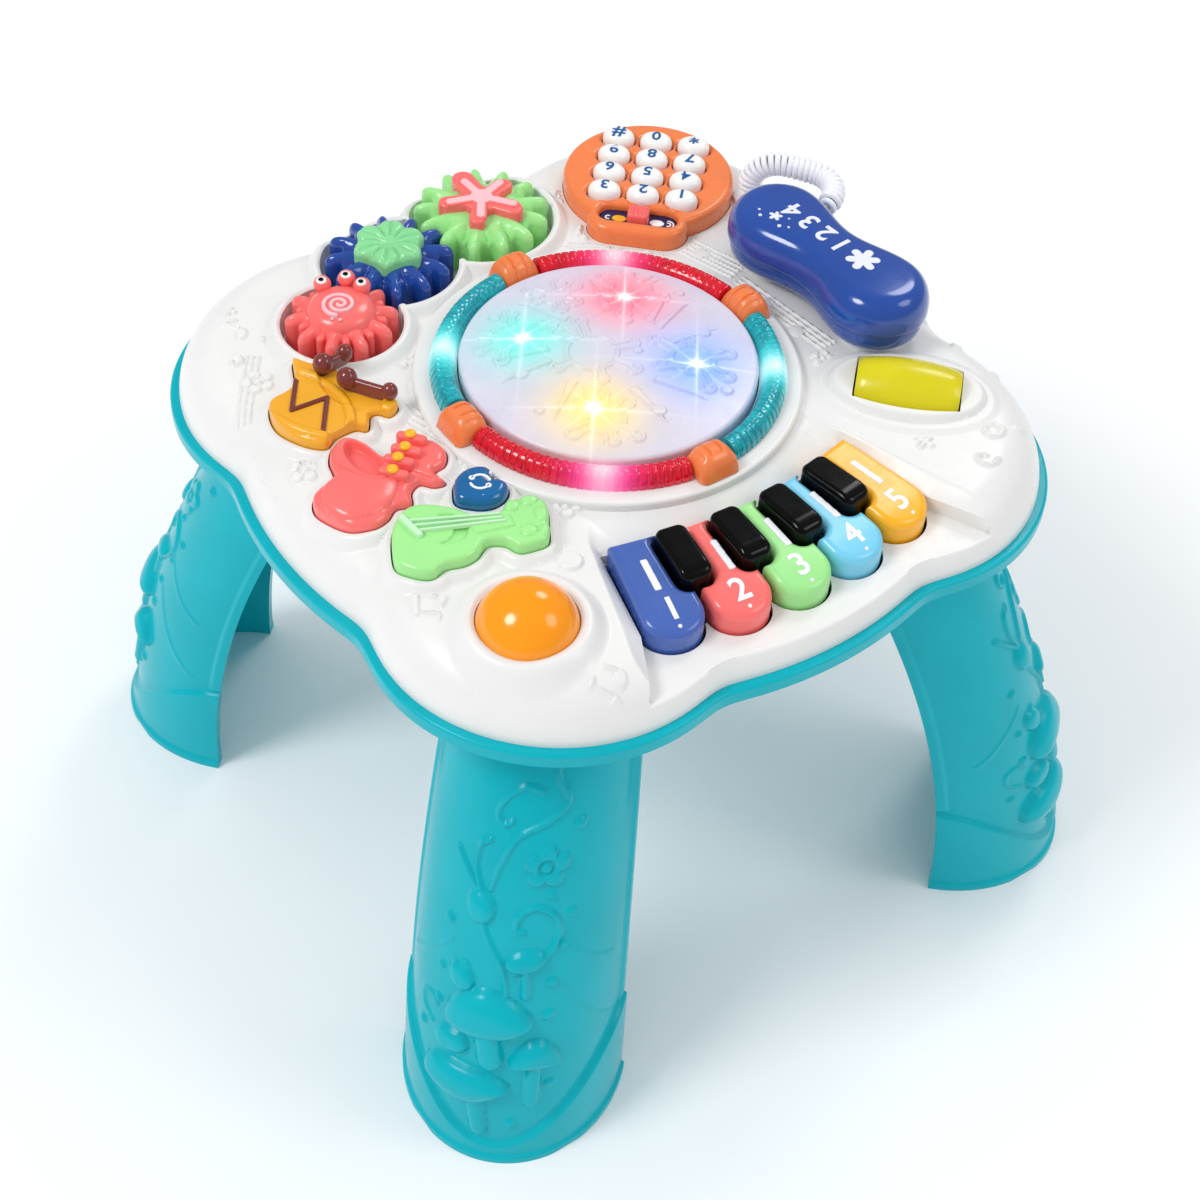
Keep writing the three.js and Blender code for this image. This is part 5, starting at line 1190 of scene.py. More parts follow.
def boss(b, bearing):
    """Block under the bowl that the open top of a leg slides on to"""
    rings = []
    phi = np.linspace(-0.97, 0.97, 41) * QUARTER
    for z in (192, 208, 214):
        u, v = leg_point(phi, z, -4.9)
        back = leg_point(QUARTER, z, 0)[0] - 6
        u, v = np.concatenate([u, [back, back]]), np.concatenate([v, [v[-1], v[0]]])
        rings.append(level_ring(*placed(u, v, angle=bearing), z))
    loft(b, rings)
    end_cap(b, rings[0], True, (0, 0, -1))


BASE_FLOOR = 197.0


def make_base():
    b = Build()
    profiles = (
        [(4.5, 237), (-2.9, 237), *arc(-2.9, 235.4, 1.6, 90, 180, 6)],
        [(-4.5, 235.4), (-4.5, 230.6), *arc(-2.9, 230.6, 1.6, 180, 270, 6)],
        [(-2.9, 229), (5, 229)],
        [(5, 229), (16, 224), (28, 214.5), (40, 203), (46, 199)],
        [(46, 199), (52, BASE_FLOOR)])
    for profile in profiles:
        loft(b, [body_loop(inset, z) for inset, z in profile], flip=True)
    door = turned(block(36.3, 29.3, 4), (0, 30))
    slots = union(*[turned(block(math.sqrt(23 ** 2 - shift ** 2), 1.3, 1.2), (0, -62 + shift))
                    for shift in range(-18, 19, 6)])
    floor_cut = less(lambda p: inset_of(p) - 52, door, slots)
    p, tris, border = region(floor_cut, (-120, -120), (120, 120), 2.4)
    b.add(level_ring(*p.T, BASE_FLOOR), tris[:, ::-1], (0, 0, -1))
    inner = inset_of(p[border].mean(1)) > 53
    wall(b, p, np.full(len(p), BASE_FLOOR), border[inner][:, ::-1], floor_cut,
         lambda q: np.full(len(q), BASE_FLOOR + 3))
    loft(b, [body_loop(4.5, z) for z in (237, 234)], flip=True)
    for k in range(4):
        boss(b, math.pi / 4 + k * QUARTER)
    piece("base_shell_moulding", b, TURQUOISE, "base_shell", "turquoise_plastic")


make_top_shell()
make_base()

# Legs

BOWL = [(-3, 229), (5, 229), (16, 224), (40, 203), (52, 197), (90, 197)]


def leg_height(phi):
    """Height at which the leg meets the bowl"""
    z = np.full(phi.shape, 214.0)
    for _ in range(30):
        u, v = leg_point(phi, z, 0)
        inset = body_reach(np.arctan2(v, u) + math.pi / 4) - np.hypot(u, v)
        z = 0.5 * z + 0.5 * (np.interp(inset, *zip(*BOWL)) - 0.3)
    return z


CAP_BIG = smooth_loop([(-24, 81), (-21.5, 90), (-14, 97.5), (-6, 100.5), (4, 98), (11.5, 92), (15, 85.5),
                       (10, 80), (0, 77),
                       (-12, 75.5), (-20, 76.5)])
CAP_LOW = smooth_loop([(-32.5, 41), (-31, 48.5), (-24, 54), (-12, 55.5), (-2, 54.5), (5.5, 50.5), (6.8, 47),
                       (0, 41),
                       (-8, 36.5), (-18, 35), (-27, 37)])
CAP_RIGHT = smooth_loop([(6, 62.5), (9, 69.5), (14.5, 75), (20.5, 74), (26, 67), (28, 60.5), (22, 60),
                         (13, 60.5)])
VINE = curve_through([(13.7, 205), (14.5, 197), (19.3, 187), (12, 180), (0.8, 173), (-5.4, 160), (-9, 148)])
VINE_LOW = curve_through([(-11.5, 133), (-7.2, 124), (-1, 114), (1.8, 104), (2, 98)])
CURL_LOW = curve_through([(4.5, 111), (12, 114), (19, 121), (22, 131), (18, 139), (11, 142.5), (5, 139),
                          (3.5, 132.5), (7, 131)])
CURL_HIGH = curve_through([(9, 192), (2, 194), (-5, 189), (-9, 181), (-6, 177), (-2.5, 179)])
ANTENNAE = [curve_through([(-12.5, 145), (-16, 155), (-15, 165), (-11, 169)]),
            curve_through([(-13, 144), (-20, 152), (-25, 158)])]
DOTS = [((-26, 125), 2.2), ((-17, 108), 2.6), ((21, 105), 2.2), ((21, 88), 2.8), ((-28.5, 82), 2.0),
        ((8.5, 24), 3.0),
        ((24, 47), 2.4), ((25, 176), 2.4), ((26, 137), 1.8), ((24, 123), 1.6), ((-36, 60), 1.6),
        ((17, 147.5), 1.8), ((-28, 100), 1.6)]


def leg_relief(v, z):
    """Height of the vines, flowers and toadstools on a leg"""
    p = np.column_stack([v.ravel(), z.ravel()])
    out = np.zeros(len(p))

    def lay(dist, height, width, base=0.0):
        d = dist(p)
        np.maximum(out, np.where(d > 0, bump(d, height, width) + base * ease(d / 0.5), 0), out=out)
    for line in (VINE, VINE_LOW, CURL_LOW, CURL_HIGH, *ANTENNAE):
        lay(stroke(line, 1.15), 1.6, 1.1)
    for c, r in DOTS:
        lay(disc(c, r), 1.7, r)
    for points in ([(21.6, 130), (34, 112), (43.6, 100)], [(24.6, 104), (36, 82), (45.6, 63)],
                   [(-24, 116), (-36, 100), (-43.6, 88)]):
        lay(stroke(curve_through(points), 0.7), 0.6, 0.7)
    lay(stroke(curve_through([(-31, 66), (-36, 70), (-36.5, 77), (-32, 80), (-29, 77)]), 0.9), 1.0, 0.9)
    lay(flower((13.7, 160), 9.2, 0.3), 1.1, 1.2, 0.3)
    for a, b, at, angle, height, width in (
            (6.6, 7.4, (-12.3, 139), 0, 4.0, 5.5), (8.6, 5.2, (9.1, 117), 0.2, 3.8, 4.5),
            (5.8, 6.6, (-18, 102), 0.5, 3.4, 4.5), (8.5, 6.2, (-20.5, 66), 0.3, 4.2, 5)):
        lay(turned(oval(a, b), at, angle), height, width)
    for a, b, half, height in (((9.6, 113), (10.6, 100), 2.0, 2.2), ((17.3, 61), (16.9, 39), 3.4, 3.2),
                               ((-8.4, 37), (-5.8, 20), 4.4, 3.8), ((-4.4, 76), (-2.4, 64), 6.0, 4.6)):
        lay(pill(a, b, half), height, half)
    for loop, height, width, base in ((CAP_RIGHT, 5.8, 8, 0.5), (CAP_LOW, 6.4, 10, 0.6),
                                      (CAP_BIG, 7.0, 11, 0.6)):
        lay(shape(loop), height, width, base)
    return out.reshape(v.shape)


def leg_skin(share, top, rows, grow_at):
    """Grid of points of a leg's face, as rows from the floor up to the bowl"""
    z = np.outer(np.linspace(0, 1, rows), top)
    wide = np.broadcast_to(share * QUARTER, z.shape)
    u, v = leg_point(wide, z, grow_at(wide, z))
    return np.stack([u, v, z], 2)


def leg_mesh():
    b = Build()
    columns, rows = fine(190), fine(310)
    share = np.linspace(-1, 1, columns)
    top = leg_height(share * QUARTER)

    def outside(wide, z):
        cuff = 11 + 46 * np.sin(wide) ** 2
        grow = 2.6 * ease((cuff - z) / 2.2) + 1.4 * ease((4.6 - z) / 1.0)
        grow = grow + 1.4 * ease((np.abs(share) - 0.925) / 0.02) * ease((z - cuff + 1) / 3)
        return grow + leg_relief(leg_point(wide, z, 0)[1], z) * ease((0.9 - np.abs(share)) / 0.1)
    skin = leg_skin(share, top, rows, outside)
    b.add(skin.reshape(-1, 3), grid_faces(rows, columns))
    share_in = np.linspace(-1, 1, 48)
    lining = leg_skin(share_in, np.interp(share_in, share, top), 40, lambda wide, z: -3.0)
    b.add(lining.reshape(-1, 3), grid_faces(40, 48)[:, [0, 3, 2, 1]])
    for outer, inner, flip in ((skin[:, 0], lining[:, 0], False), (skin[:, -1], lining[:, -1], True),
                               (skin[0], lining[0], True), (skin[-1], lining[-1], False)):
        n = len(outer)
        s, s_in = np.linspace(0, 1, n), np.linspace(0, 1, len(inner))
        matched = np.column_stack([np.interp(s, s_in, inner[:, k]) for k in range(3)])
        faces = grid_faces(2, n)
        b.add(np.vstack([outer, matched]), faces[:, ::-1] if flip else faces)
    return b


FOOT_REACH = 190.6
LEG_NAMES = ("leg_back_right", "leg_back_left", "leg_front_left", "leg_front_right")


def make_legs():
    b = leg_mesh()
    for k, name in enumerate(LEG_NAMES):
        one = Build().join(b).moved((0, 0, 0), math.pi / 4 + k * QUARTER)
        for points in one.points:
            points[:, :2] = np.clip(points[:, :2], -FOOT_REACH, FOOT_REACH)
        piece(name + "_moulding", one, TURQUOISE, name, "turquoise_plastic")


make_legs()

# Keys

KEY_TOP, PRINT_RISE = 264.0, 0.25
KEY_LOOKS = ((-1.4, KEY_BLUE, "key_blue_plastic"), (3.0, CORAL, "coral_plastic"),
             (2.6, GREEN, "light_green_plastic"),
             (2.2, SKY, "light_blue_plastic"), (2.6, AMBER, "amber_plastic"))


def make_keys():
    for i, (bar_at, tone, slot) in enumerate(KEY_LOOKS):
        c, a = KEYS[i]
        plan = less(turned(key_shape, c, a), *[turned(block(8.5, 16.2, 5.0), q, t) for q, t in CAPS])

        def slope(p, c=c, a=a):
            along = local(p, c, a)[:, 1]
            return along * 4 / KEY_LENGTH - 2.2 * np.clip((-6 - along) / 20, 0, 1) ** 2
        b = Build()
        lo, hi = np.array(c) - 34, np.array(c) + 34
        slab(b, plan, lo, hi, fine(0.5), KEY_TOP, 248.0, 3.2, slope)
        bar_plan = turned(block(1.6, 8.6, 0.7), placed(bar_at, 5.5, c, a), a)
        dot = disc(placed(0, -22.2, c, a), 0.9)
        for plan, h, low in ((bar_plan, 0.5, 262.5), (dot, 0.3, 260.5)):
            slab(b, plan, lo, hi, h, KEY_TOP + PRINT_RISE, low, 0.2, slope, 1, False)
        number = Build()
        glyph(number, str(i + 1), 15.5, placed(0, -13.2, c, a), a, 0, 1, 1)
        for points in number.points:
            high = points[:, 2] > 0.5
            points[:, 2] = KEY_TOP + slope(points[:, :2]) + np.where(high, PRINT_RISE, -0.6)
        b.join(number)
        body = f"key_{i + 1}"
        piece(body + "_cover", b, [tone, PRINT_WHITE], body, slot, body)


def make_black_keys():
    b = Build()
    slab(b, turned(block(62, 19.5, 1), (0, -97.5)), (-64, -119), (64, -76), 3, 245.2, 242.2, 0.3)
    for c, a in CAPS:
        lo, hi = np.array(c) - 20, np.array(c) + 20

        def nose(p, c=c, a=a):
            return -3.0 * np.clip((-7 - local(p, c, a)[:, 1]) / 9, 0, 1) ** 2
        slab(b, turned(block(7.3, 15, 4.1), c, a), lo, hi, fine(0.4), 270.5, 244.0, 2.6, nose)
    piece("black_keys", b, BLACK, "black_key_frame", "black_plastic")


make_keys()
make_black_keys()

# Light lens, light guides and clamps

LENS_R = 67.4
GUIDE_R, GUIDE_Z = 74.3, 268.3
LIGHTS = [((-28, 28), (0, 225, 205)), ((28, 28), (255, 60, 90)), ((-28, -28), (255, 215, 60)),
          ((28, -28), (70, 150, 255))]
GLOWS = [(53, (255, 90, 190)), (143, (90, 255, 245)), (233, (255, 90, 220)), (323, (90, 250, 245))]
# Painted glints round the lens's lamps: bearing of their rays, half widths and lengths of the long and short
# rays, and the bright core's size
RAYS = -37 * DEG
RAY_HALF, RAY_LENGTH, SHORT_HALF, SHORT_LENGTH, CORE = 0.6 * MM, 13 * MM, 0.5 * MM, 7 * MM, 3.2 * MM


def offsets(n, centre):
    """Signed distances along x and y from a plan point, and their squares' sum"""
    x, y = [n.minus(value, at * MM) for value, at in zip(n.xy(), centre)]
    return x, y, n.plus(n.times(x, x), n.times(y, y))


def glow(n, centre, width):
    """Brightness that falls off round a plan point"""
    return n.fade(offsets(n, centre)[2], 1 / (width * MM) ** 2)


def painted_star_glint(n, centre):
    """Painted glint: four long rays and four short ones round a bright core"""
    x, y, square = offsets(n, centre)
    c, s = math.cos(RAYS), math.sin(RAYS)
    along = n.plus(n.times(x, c), n.times(y, s))
    across = n.minus(n.times(y, c), n.times(x, s))

    def ray(value, half):
        return n.fade(n.math("ABSOLUTE", value), 1 / half)
    rays = [n.times(ray(one, RAY_HALF), ray(other, RAY_LENGTH)) for one,
            other in ((along, across), (across, along))]
    short = n.plus(ray(n.plus(along, across), SHORT_HALF), ray(n.minus(along, across), SHORT_HALF))
    short = n.times(short, n.fade(n.math("SQRT", square), 1 / SHORT_LENGTH))
    return n.plus(n.plus(n.plus(*rays), n.times(short, 0.8)), n.fade(square, 1 / CORE ** 2), clamp=True)


def lens_material():
    n = Nodes("lit_lens_plastic")
    tone = n.mix(n.span(n.noise(60), 0, 1), linear((205, 203, 221)), linear((214, 211, 226)))
    light = None
    # Painted light round each lamp: the base colour is tinted towards the lamp's colour, and the emission
    # adds a glow in that colour with a painted white star glint
    for centre, rgb in LIGHTS:
        wide = glow(n, centre, 21)
        tone = n.mix(n.times(wide, 0.7), tone, linear(rgb))
        painted_glow_and_glint = n.mix(n.times(wide, 0.3), NO_LIGHT, linear(rgb))
        painted_glow_and_glint = n.mix(painted_star_glint(n, centre), painted_glow_and_glint, WHITE_LIGHT)
        light = painted_glow_and_glint if light is None else n.mix(1.0, light, painted_glow_and_glint, "ADD")
    n.feed(Base_Color=tone, Emission_Color=light, Emission_Strength=0.9,
           Roughness=n.span(n.noise(140), 0.24, 0.34),
           Subsurface_Weight=0.12, Subsurface_Radius=(0.004, 0.004, 0.005))
    n.skin(n.noise(700), 0.05)
    return n.material


def guide_material(name, deep, pale):
    """Ribbed light guide with painted shade in the grooves between its ribs, a faint glow all over, and
    bright spots where its lamps sit
    """
    n = Nodes(name)
    tone = n.mix(n.span(n.noise(260, 4), 0, 1), linear(deep), linear(pale))
    x, y = n.xy()
    # Painted shade: narrow dark lines every 3 mm along the guide, where the grooves between its ribs fall in
    # shade
    turn = n.math("ARCTAN2", y, x)
    rib_shade_wave = n.math("ABSOLUTE", n.math("SINE", n.times(turn, math.pi * GUIDE_R / 3.0)))
    line = n.minus(1.0, n.times(rib_shade_wave, 3.2), clamp=True)
    tone = n.mix(n.times(line, 0.6), tone, linear([c * 0.45 for c in deep]))
    light = n.mix(0.10, NO_LIGHT, tone)
    for bearing, rgb in GLOWS:
        at = polar(GUIDE_R, bearing * DEG)
        light = n.mix(n.times(glow(n, at, 13), 0.8), light, linear(rgb))
        light = n.mix(n.times(glow(n, at, 6.5), 0.9), light, (1.0, 0.95, 1.0, 1))
    n.feed(Base_Color=tone, Emission_Color=light, Emission_Strength=0.85,
           Roughness=n.span(n.noise(200), 0.1, 0.2),
           Coat_Weight=0.5, Coat_Roughness=0.06)
    n.skin(n.noise(420, 4), 0.25)
    return n.material


def spike(at, size, angle):
    """A long thin triangle"""
    return turned(shape([(-size * 0.5, -size * 0.09), (size * 0.5, 0), (-size * 0.5, size * 0.09)]), at,
                  angle)


def splash(at, size, seed):
    """A round blot with round-ended arms"""
    rng = np.random.default_rng(seed)
    parts = [disc(at, size * 0.5)]
    for k in range(6):
        a = k * TURN / 6 + rng.uniform(-0.3, 0.3)
        tip = polar(size * rng.uniform(0.75, 1.1), a, at)
        parts += [stroke([at, tip], 1.9), disc(tip, 2.9)]
    return union(*parts)


LENS_LINES = [splash(at, size, seed) for at, size, seed in (
    ((-8, 2), 23, 3), ((34, 31), 18, 5), ((-33, 32), 17, 8), ((28, -25), 19, 11), ((-27, -36), 17, 17),
    ((2, 46), 12, 23))]
LENS_SOLID = [spike(polar(40, a * DEG), 26, a * DEG + 0.2)
              for a in (8, 20, 62, 104, 118, 152, 168, 205, 222, 262, 288, 310, 344)]
LENS_SOLID += [disc(c, r) for c, r in (
    ((-42, 8), 3.4), ((-14, 30), 2.6), ((18, 12), 2.8), ((44, -12), 3.0), ((-4, -44), 3.2),
    ((-48, -16), 2.2), ((10, -8), 2.2), ((52, 18), 2.4), ((-30, 48), 2.6), ((30, -48), 2.8))]


def lens_rise(p):
    """Dome of the lens with the splashes' outlines, the spikes and the dots cast on it"""
    relief = np.zeros(len(p))
    for dist in LENS_LINES:
        relief = np.maximum(relief, 1.2 * ease((1.5 - np.abs(dist(p))) / 1.3))
    for dist in LENS_SOLID:
        relief = np.maximum(relief, 1.3 * ease((dist(p) + 0.3) / 1.0))
    r = np.hypot(p[:, 0], p[:, 1])
    return 5.0 * (1 - (r / LENS_R) ** 2) + relief * ease((62 - r) / 3) - 2.6


def make_lens():
    b = Build()
    slab(b, disc((0, 0), LENS_R), (-68, -68), (68, 68), fine(0.46), 277.3, 262.7, 1.8, lens_rise,
         foot=False)
    piece("lens_dome", b, lens_material(), "light_lens", "lens_plastic", "light_lens")


def guide_ring(a, section):
    """Cross section of a guide at a bearing, with its ribs and the dashes on its crown"""
    arc_length = GUIDE_R * a
    rib = 1 - math.exp(-(math.sin(math.pi * arc_length / 3.6) / 0.3) ** 2)
    outer = ease((np.cos(section) - 0.15) / 0.3)
    dash = 0.5 + 0.5 * math.cos(TURN * arc_length / 4.2)
    crown = np.exp(-((section - 1.45) / 0.13) ** 2) + np.exp(-((section - 1.95) / 0.13) ** 2)
    swell = 0.65 * outer * rib + 0.4 * crown * ease(dash * 2 - 0.6)
    r = GUIDE_R + (5.6 + swell) * np.cos(section)
    return np.column_stack([r * math.cos(a), r * math.sin(a), GUIDE_Z + (7.5 + swell) * np.sin(section)])


def make_guides():
    looks = {"red": guide_material("red_guide", (190, 0, 24), (228, 6, 44)),
             "teal": guide_material("teal_guide", (0, 128, 142), (0, 174, 184))}
    section = np.linspace(0, math.pi, fine(41))
    for k, (colour, side) in enumerate((("red", "back"), ("teal", "left"), ("red", "front"),
                                        ("teal", "right"))):
        b = Build()
        angles = np.linspace(8.3, 81.7, fine(420)) * DEG + k * QUARTER
        rings = [guide_ring(a, section) for a in angles]
        loft(b, rings, closed=False, flip=True)
        end_cap(b, rings[0])
        end_cap(b, rings[-1], True)
        name = f"ring_guide_{colour}_{side}"
        piece(name + "_moulding", b, looks[colour], name, colour + "_guide_plastic")


CLAMP_R, CLAMP_HALF = 77.1, 8.9


def clamp_rise(q):
    """Cross section of a clamp: full and round over the guide, with two grooves at its inner end"""
    y = np.abs(q[:, 1])
    arch = 12 * np.sqrt(np.clip(1 - np.abs((q[:, 0] - CLAMP_R) / CLAMP_HALF) ** 2.4, 0, 1)) - 12
    ends = -4.4 * np.clip((y - 2.5) / 7.5, 0, 1) ** 2
    inner = ease((82 - q[:, 0]) / 3)
    grooves = -1.3 * ease((1.0 - np.abs(y - 2.9)) / 0.8) - 0.7 * ease((y - 5.6) / 1.2)
    return arch + ends + grooves * inner - 0.1


def make_clamps():
    plan = turned(block(CLAMP_HALF, 10, 3.2), (CLAMP_R, 0))
    for k, side in enumerate(("right", "back", "left", "front")):
        b = Build()
        slab(b, plan, (66, -12), (88, 12), fine(0.35), 280.3, GUIDE_Z, 3.0, clamp_rise, foot=False)
        for points in b.points:
            points[:, 2] = np.maximum(points[:, 2], GUIDE_Z)
        b.moved((0, 0, 0), k * QUARTER)
        name = "ring_clamp_" + side
        piece(name + "_moulding", b, ORANGE, name, "orange_plastic")


make_lens()
make_guides()
make_clamps()

# Figures that press down

FIGURE_TOP, FIGURE_FOOT = 273.2, 256.7


def make_drum():
    b = Build()
    lo, hi = box_of(DRUM)
    rim_top = stroke(curve_through([(-128, 73), (-119, 65), (-113.5, 54), (-112.5, 42), (-116, 30),
                                    (-121, 22)]), 2.3)
    rim_low = stroke(curve_through([(-146, 53), (-143.5, 43), (-139, 33), (-132, 24)]), 2.3)
    skin = turned(oval(13, 21), (-106, 47), 0.1)

    def rise(p):
        z = np.maximum(bump(rim_top(p), 1.9, 2.3), bump(rim_low(p), 1.9, 2.3))
        return z - 1.9 * ease((skin(p) - 1) / 2) - 0.9
    slab(b, drum, lo, hi, fine(0.5), FIGURE_TOP, FIGURE_FOOT, 2.6, rise)
    zigzag = stroke([(-125, 62), (-136, 46), (-119, 45), (-131, 27.5)], 1.15)
    slab(b, zigzag, lo, hi, 0.35, 273.5, 271.5, 0.9, tint=1, foot=False)
    for big, small in (((-111, 62), (-99, 64)), ((-107, 48), (-95.5, 31))):
        bar(b, big, small, 1.7, 277.2, 270.5, 1)
        knob_top(b, big, 4.7, 273.5, 7.6, 1)
        knob_top(b, small, 3.7, 273.5, 6.4, 1)
    piece("drum_cover", b, [GOLD, BROWN], "drum_button", "gold_plastic", "drum_button")


def make_sax():
    b = Build()
    lo, hi = box_of(SAX)
    bell = turned(oval(16.5, 10.0), (-125.0, 3.5), 1.6)
    bulb = turned(oval(18, 15), (-136, -12), 0.4)
    groove = stroke(curve_through([(-131, 9), (-122, -4), (-113, -11), (-107, -20)]), 0.9)

    def rise(p):
        d = bell(p)
        z = bump(2.6 - np.abs(d - 2.2), 2.0, 2.6) - 3.6 * ease((d - 3.4) / 2.4)
        z = np.where(d > -0.4, z, bump(bulb(p), 3.4, 14))
        return np.maximum(z, -4.0) - 1.6 * ease((groove(p) + 0.6) / 1.4) * (d < 0) - 2.2
    slab(b, sax, lo, hi, fine(0.5), FIGURE_TOP, FIGURE_FOOT, 4.0, rise)
    for post in ((-120, -12), (-114, -6.5), (-108, -2.5), (-102, 3)):
        bar(b, polar(-4.2, -0.85, post), polar(5.2, -0.85, post), 2.3, 275.2, 270)
        knob_top(b, post, 2.6, 274.6, 2.4, 1, 20)
    piece("saxophone_cover", b, [CORAL, AMBER], "saxophone_button", "coral_plastic", "saxophone_button")


def make_guitar():
    b = Build()
    lo, hi = box_of(GUITAR)
    neck = shape([(-109, -55.5), (-92, -59.5), (-93.5, -66), (-110, -61.5)])
    head = [((-88, -55), 3.6), ((-80, -56), 3.8), ((-90, -71), 3.8), ((-82.5, -75), 4.0), ((-79, -66), 4.4)]
    hole = turned(less(disc((0, 0), 9.2), disc((-5.5, 1.5), 8.2)), (-118, -52), -0.25)

    def rise(p):
        z = 0.9 * ease((neck(p) + 0.4) / 0.9)
        for c, r in head:
            z = np.maximum(z, bump(disc(c, r)(p), 1.5, r))
        return z - 1.4 * ease((hole(p) + 0.2) / 1.2) - 0.6
    slab(b, guitar, lo, hi, fine(0.5), FIGURE_TOP, FIGURE_FOOT, 2.6, rise)
    bar(b, (-131, -37.5), (-130, -50), 1.5, 275.2, 271, 1)
    for k in range(3):
        bar(b, (-130.5, -40.5 - 3.4 * k), (-96, -57.2 - 2.3 * k), 0.62, 274.6, 272.6, 1, 0.3)
    piece("guitar_cover", b, [GREEN, PALE_GREEN], "guitar_button", "light_green_plastic", "guitar_button")


def make_heart():
    b = Build()
    lo, hi = box_of(HEART_LOOP)
    c = np.array([-91.5, -36])
    notch = HEART_LOOP[np.argmin(np.hypot(*(HEART_LOOP - c).T))]
    cleft = stroke([c + (notch - c) * 1.3, c + (notch - c) * 0.55], 1.3)

    def rise(p):
        return bump(heart(p), 1.1, 9) - 2.4 * ease((cleft(p) + 1.2) / 2.4)
    slab(b, heart, lo, hi, fine(0.4), 271.9, FIGURE_FOOT, 3.4, rise)
    for start in (0.35 - 0.6, 0.35 - 0.6 + math.pi):
        line = [polar(4.2, t, c) for t in np.linspace(start, start + 2.25, 9)]
        for mark in (stroke(line, 0.62), disc(line[-1], 1.35)):
            slab(b, mark, c - 8, c + 8, 0.25, 273.35, 271.6, 0.2, tint=1, foot=False)
    for k in range(5):
        spot = np.array(polar(7.6, 0.4 + 1.3 * k, c))
        slab(b, disc(spot, 0.6), spot - 2, spot + 2, 0.2, 272.8, 270.6, 0.15, tint=1, foot=False)
    piece("heart_cover", b, [HEART, PRINT_WHITE], "heart_button", "heart_blue_plastic", "heart_button")


# Ball and roller


def make_spinners():
    b = Build()
    t = np.linspace(-90, 90, 49) * DEG
    revolve(b, [(max(BALL_R * math.cos(a), 1e-3), BALL_Z + BALL_R * math.sin(a)) for a in t], centre=BALL_AT)
    piece("spinner_ball_moulding", b, BALL, "spinner_ball", "amber_plastic", "spinner_ball")
    b = Build()
    end_r = 12.7
    belly = [(13.5 + 3 * (1 - v * v), ROLLER_HALF * v) for v in np.linspace(-1, 1, 25)[1:-1] * 0.985]
    for profile in ([(end_r, -ROLLER_HALF), *belly, (end_r, ROLLER_HALF)],
                    [(0.01, -ROLLER_HALF), (end_r, -ROLLER_HALF)],
                    [(end_r, ROLLER_HALF), (0.01, ROLLER_HALF)]):
        spin(b, (*ROLLER_AT, ROLLER_Z), ROLLER_ANGLE, profile)
    piece("roller_moulding", b, YELLOW, "roller", "yellow_plastic", "roller")


# Handset

HANDSET_TOP = 296.95


def handset_ring(inset, z, count=44):
    """Level outline of the handset: two round ends joined by a waist"""
    lobe, waist = 24.2 - inset, 18 - inset
    out = []
    for end, base in ((1, 0), (-1, math.pi)):
        out += [polar(lobe, base + math.pi * k / (count - 1), (0, end * LOBE_SHIFT)) for k in range(count)]
        for k in range(1, count):
            along = end * (1 - 2 * k / count)
            half = waist + (lobe - waist) * (1 - math.cos(math.pi * along)) / 2
            out.append((-end * half, along * LOBE_SHIFT))
    return level_ring(*np.array(out).T, z)


def handset_part(build, levels, flip, cap_rise):
    """Rings of (inset, height), closed by a cap that shrinks on to the middle line"""
    rings = [handset_ring(inset, z) for inset, z in levels]
    last = rings[-1]
    spine = last.copy()
    spine[:, 0] = 0
    spine[:, 1] = np.clip(last[:, 1], -LOBE_SHIFT, LOBE_SHIFT)
    for t in (0.12, 0.3, 0.55, 0.8, 0.999):
        ring = last * (1 - t) + spine * t
        ring[:, 2] = last[:, 2] + cap_rise * math.sin(t * QUARTER)
        rings.append(ring)
    loft(build, rings, flip=flip)


def petals(count, start, near, far, half):
    return union(*[pill(polar(near, a), polar(far, a),
                        half) for a in np.arange(count) * TURN / count + start])


def make_handset():
    upper, lower = Build(), Build()
    levels = [(0.9, 279.0), (0.15, 279.5), (0.0, 280.4)]
    levels += [(10.5 * (1 - math.cos(a) ** 0.9), 281.5 + 14.7 * math.sin(a) ** 0.95)
               for a in np.linspace(0, 90, 13)[1:-1] * DEG]
    handset_part(upper, [*levels, (10.5, 296.3)], False, 0.45)
    levels = [(1.6, 278.7), (1.5, 277.8), (1.4, 275), (2.2, 271.4), (3.6, 269.2), (5.6, 268), (8.0, 267.5)]
    handset_part(lower, levels, True, 0.0)

    def stamp(dist, centre, size, z):
        c = np.array(centre, float)
        slab(upper, turned(dist, c), c - size, c + size, 0.35, z, z - 1.4, 0.25, tint=1, foot=False)
    stamp(petals(6, 0.3, 1.2, 6.0, 2.1), (1.0, -20.5), 10, HANDSET_TOP)
    stamp(petals(5, 0.5, 0.6, 2.5, 0.95), (-8.5, 28.0), 5, 296.8)
    for c, r in (((-12.2, 21.5), 1.0), ((-9.5, 18), 0.7), ((-13.6, 33), 0.9), ((-11, 36.5), 0.7),
                 ((-5, 22.5), 0.8)):
        stamp(disc((0, 0), r), c, 3, 296.7)
    for text, along, drop in (("1", -6.5, 0), ("2", 4.0, 0), ("3", 15.0, 0), ("4", 26.0, 0.05)):
        glyph(upper, text, 15.0, (0.5, along), QUARTER, HANDSET_TOP - 1.2, HANDSET_TOP - drop, 1)
    for b, half, materials in ((upper, "upper", [BLUE, HANDSET_PRINT]), (lower, "lower", BLUE)):
        b.moved((*HANDSET_AT, 0), HANDSET_ANGLE)
        piece(f"handset_{half}_moulding", b, materials, f"handset_{half}_shell", "blue_plastic", "handset")
    b = Build()
    round_post(b, GROMMET_AT, 7.2, 263.3, 266.3, 1.0, 40, 6)
    piece("cord_grommet_moulding", b, CORD, "cord_grommet", "cord_plastic")


# Keypad

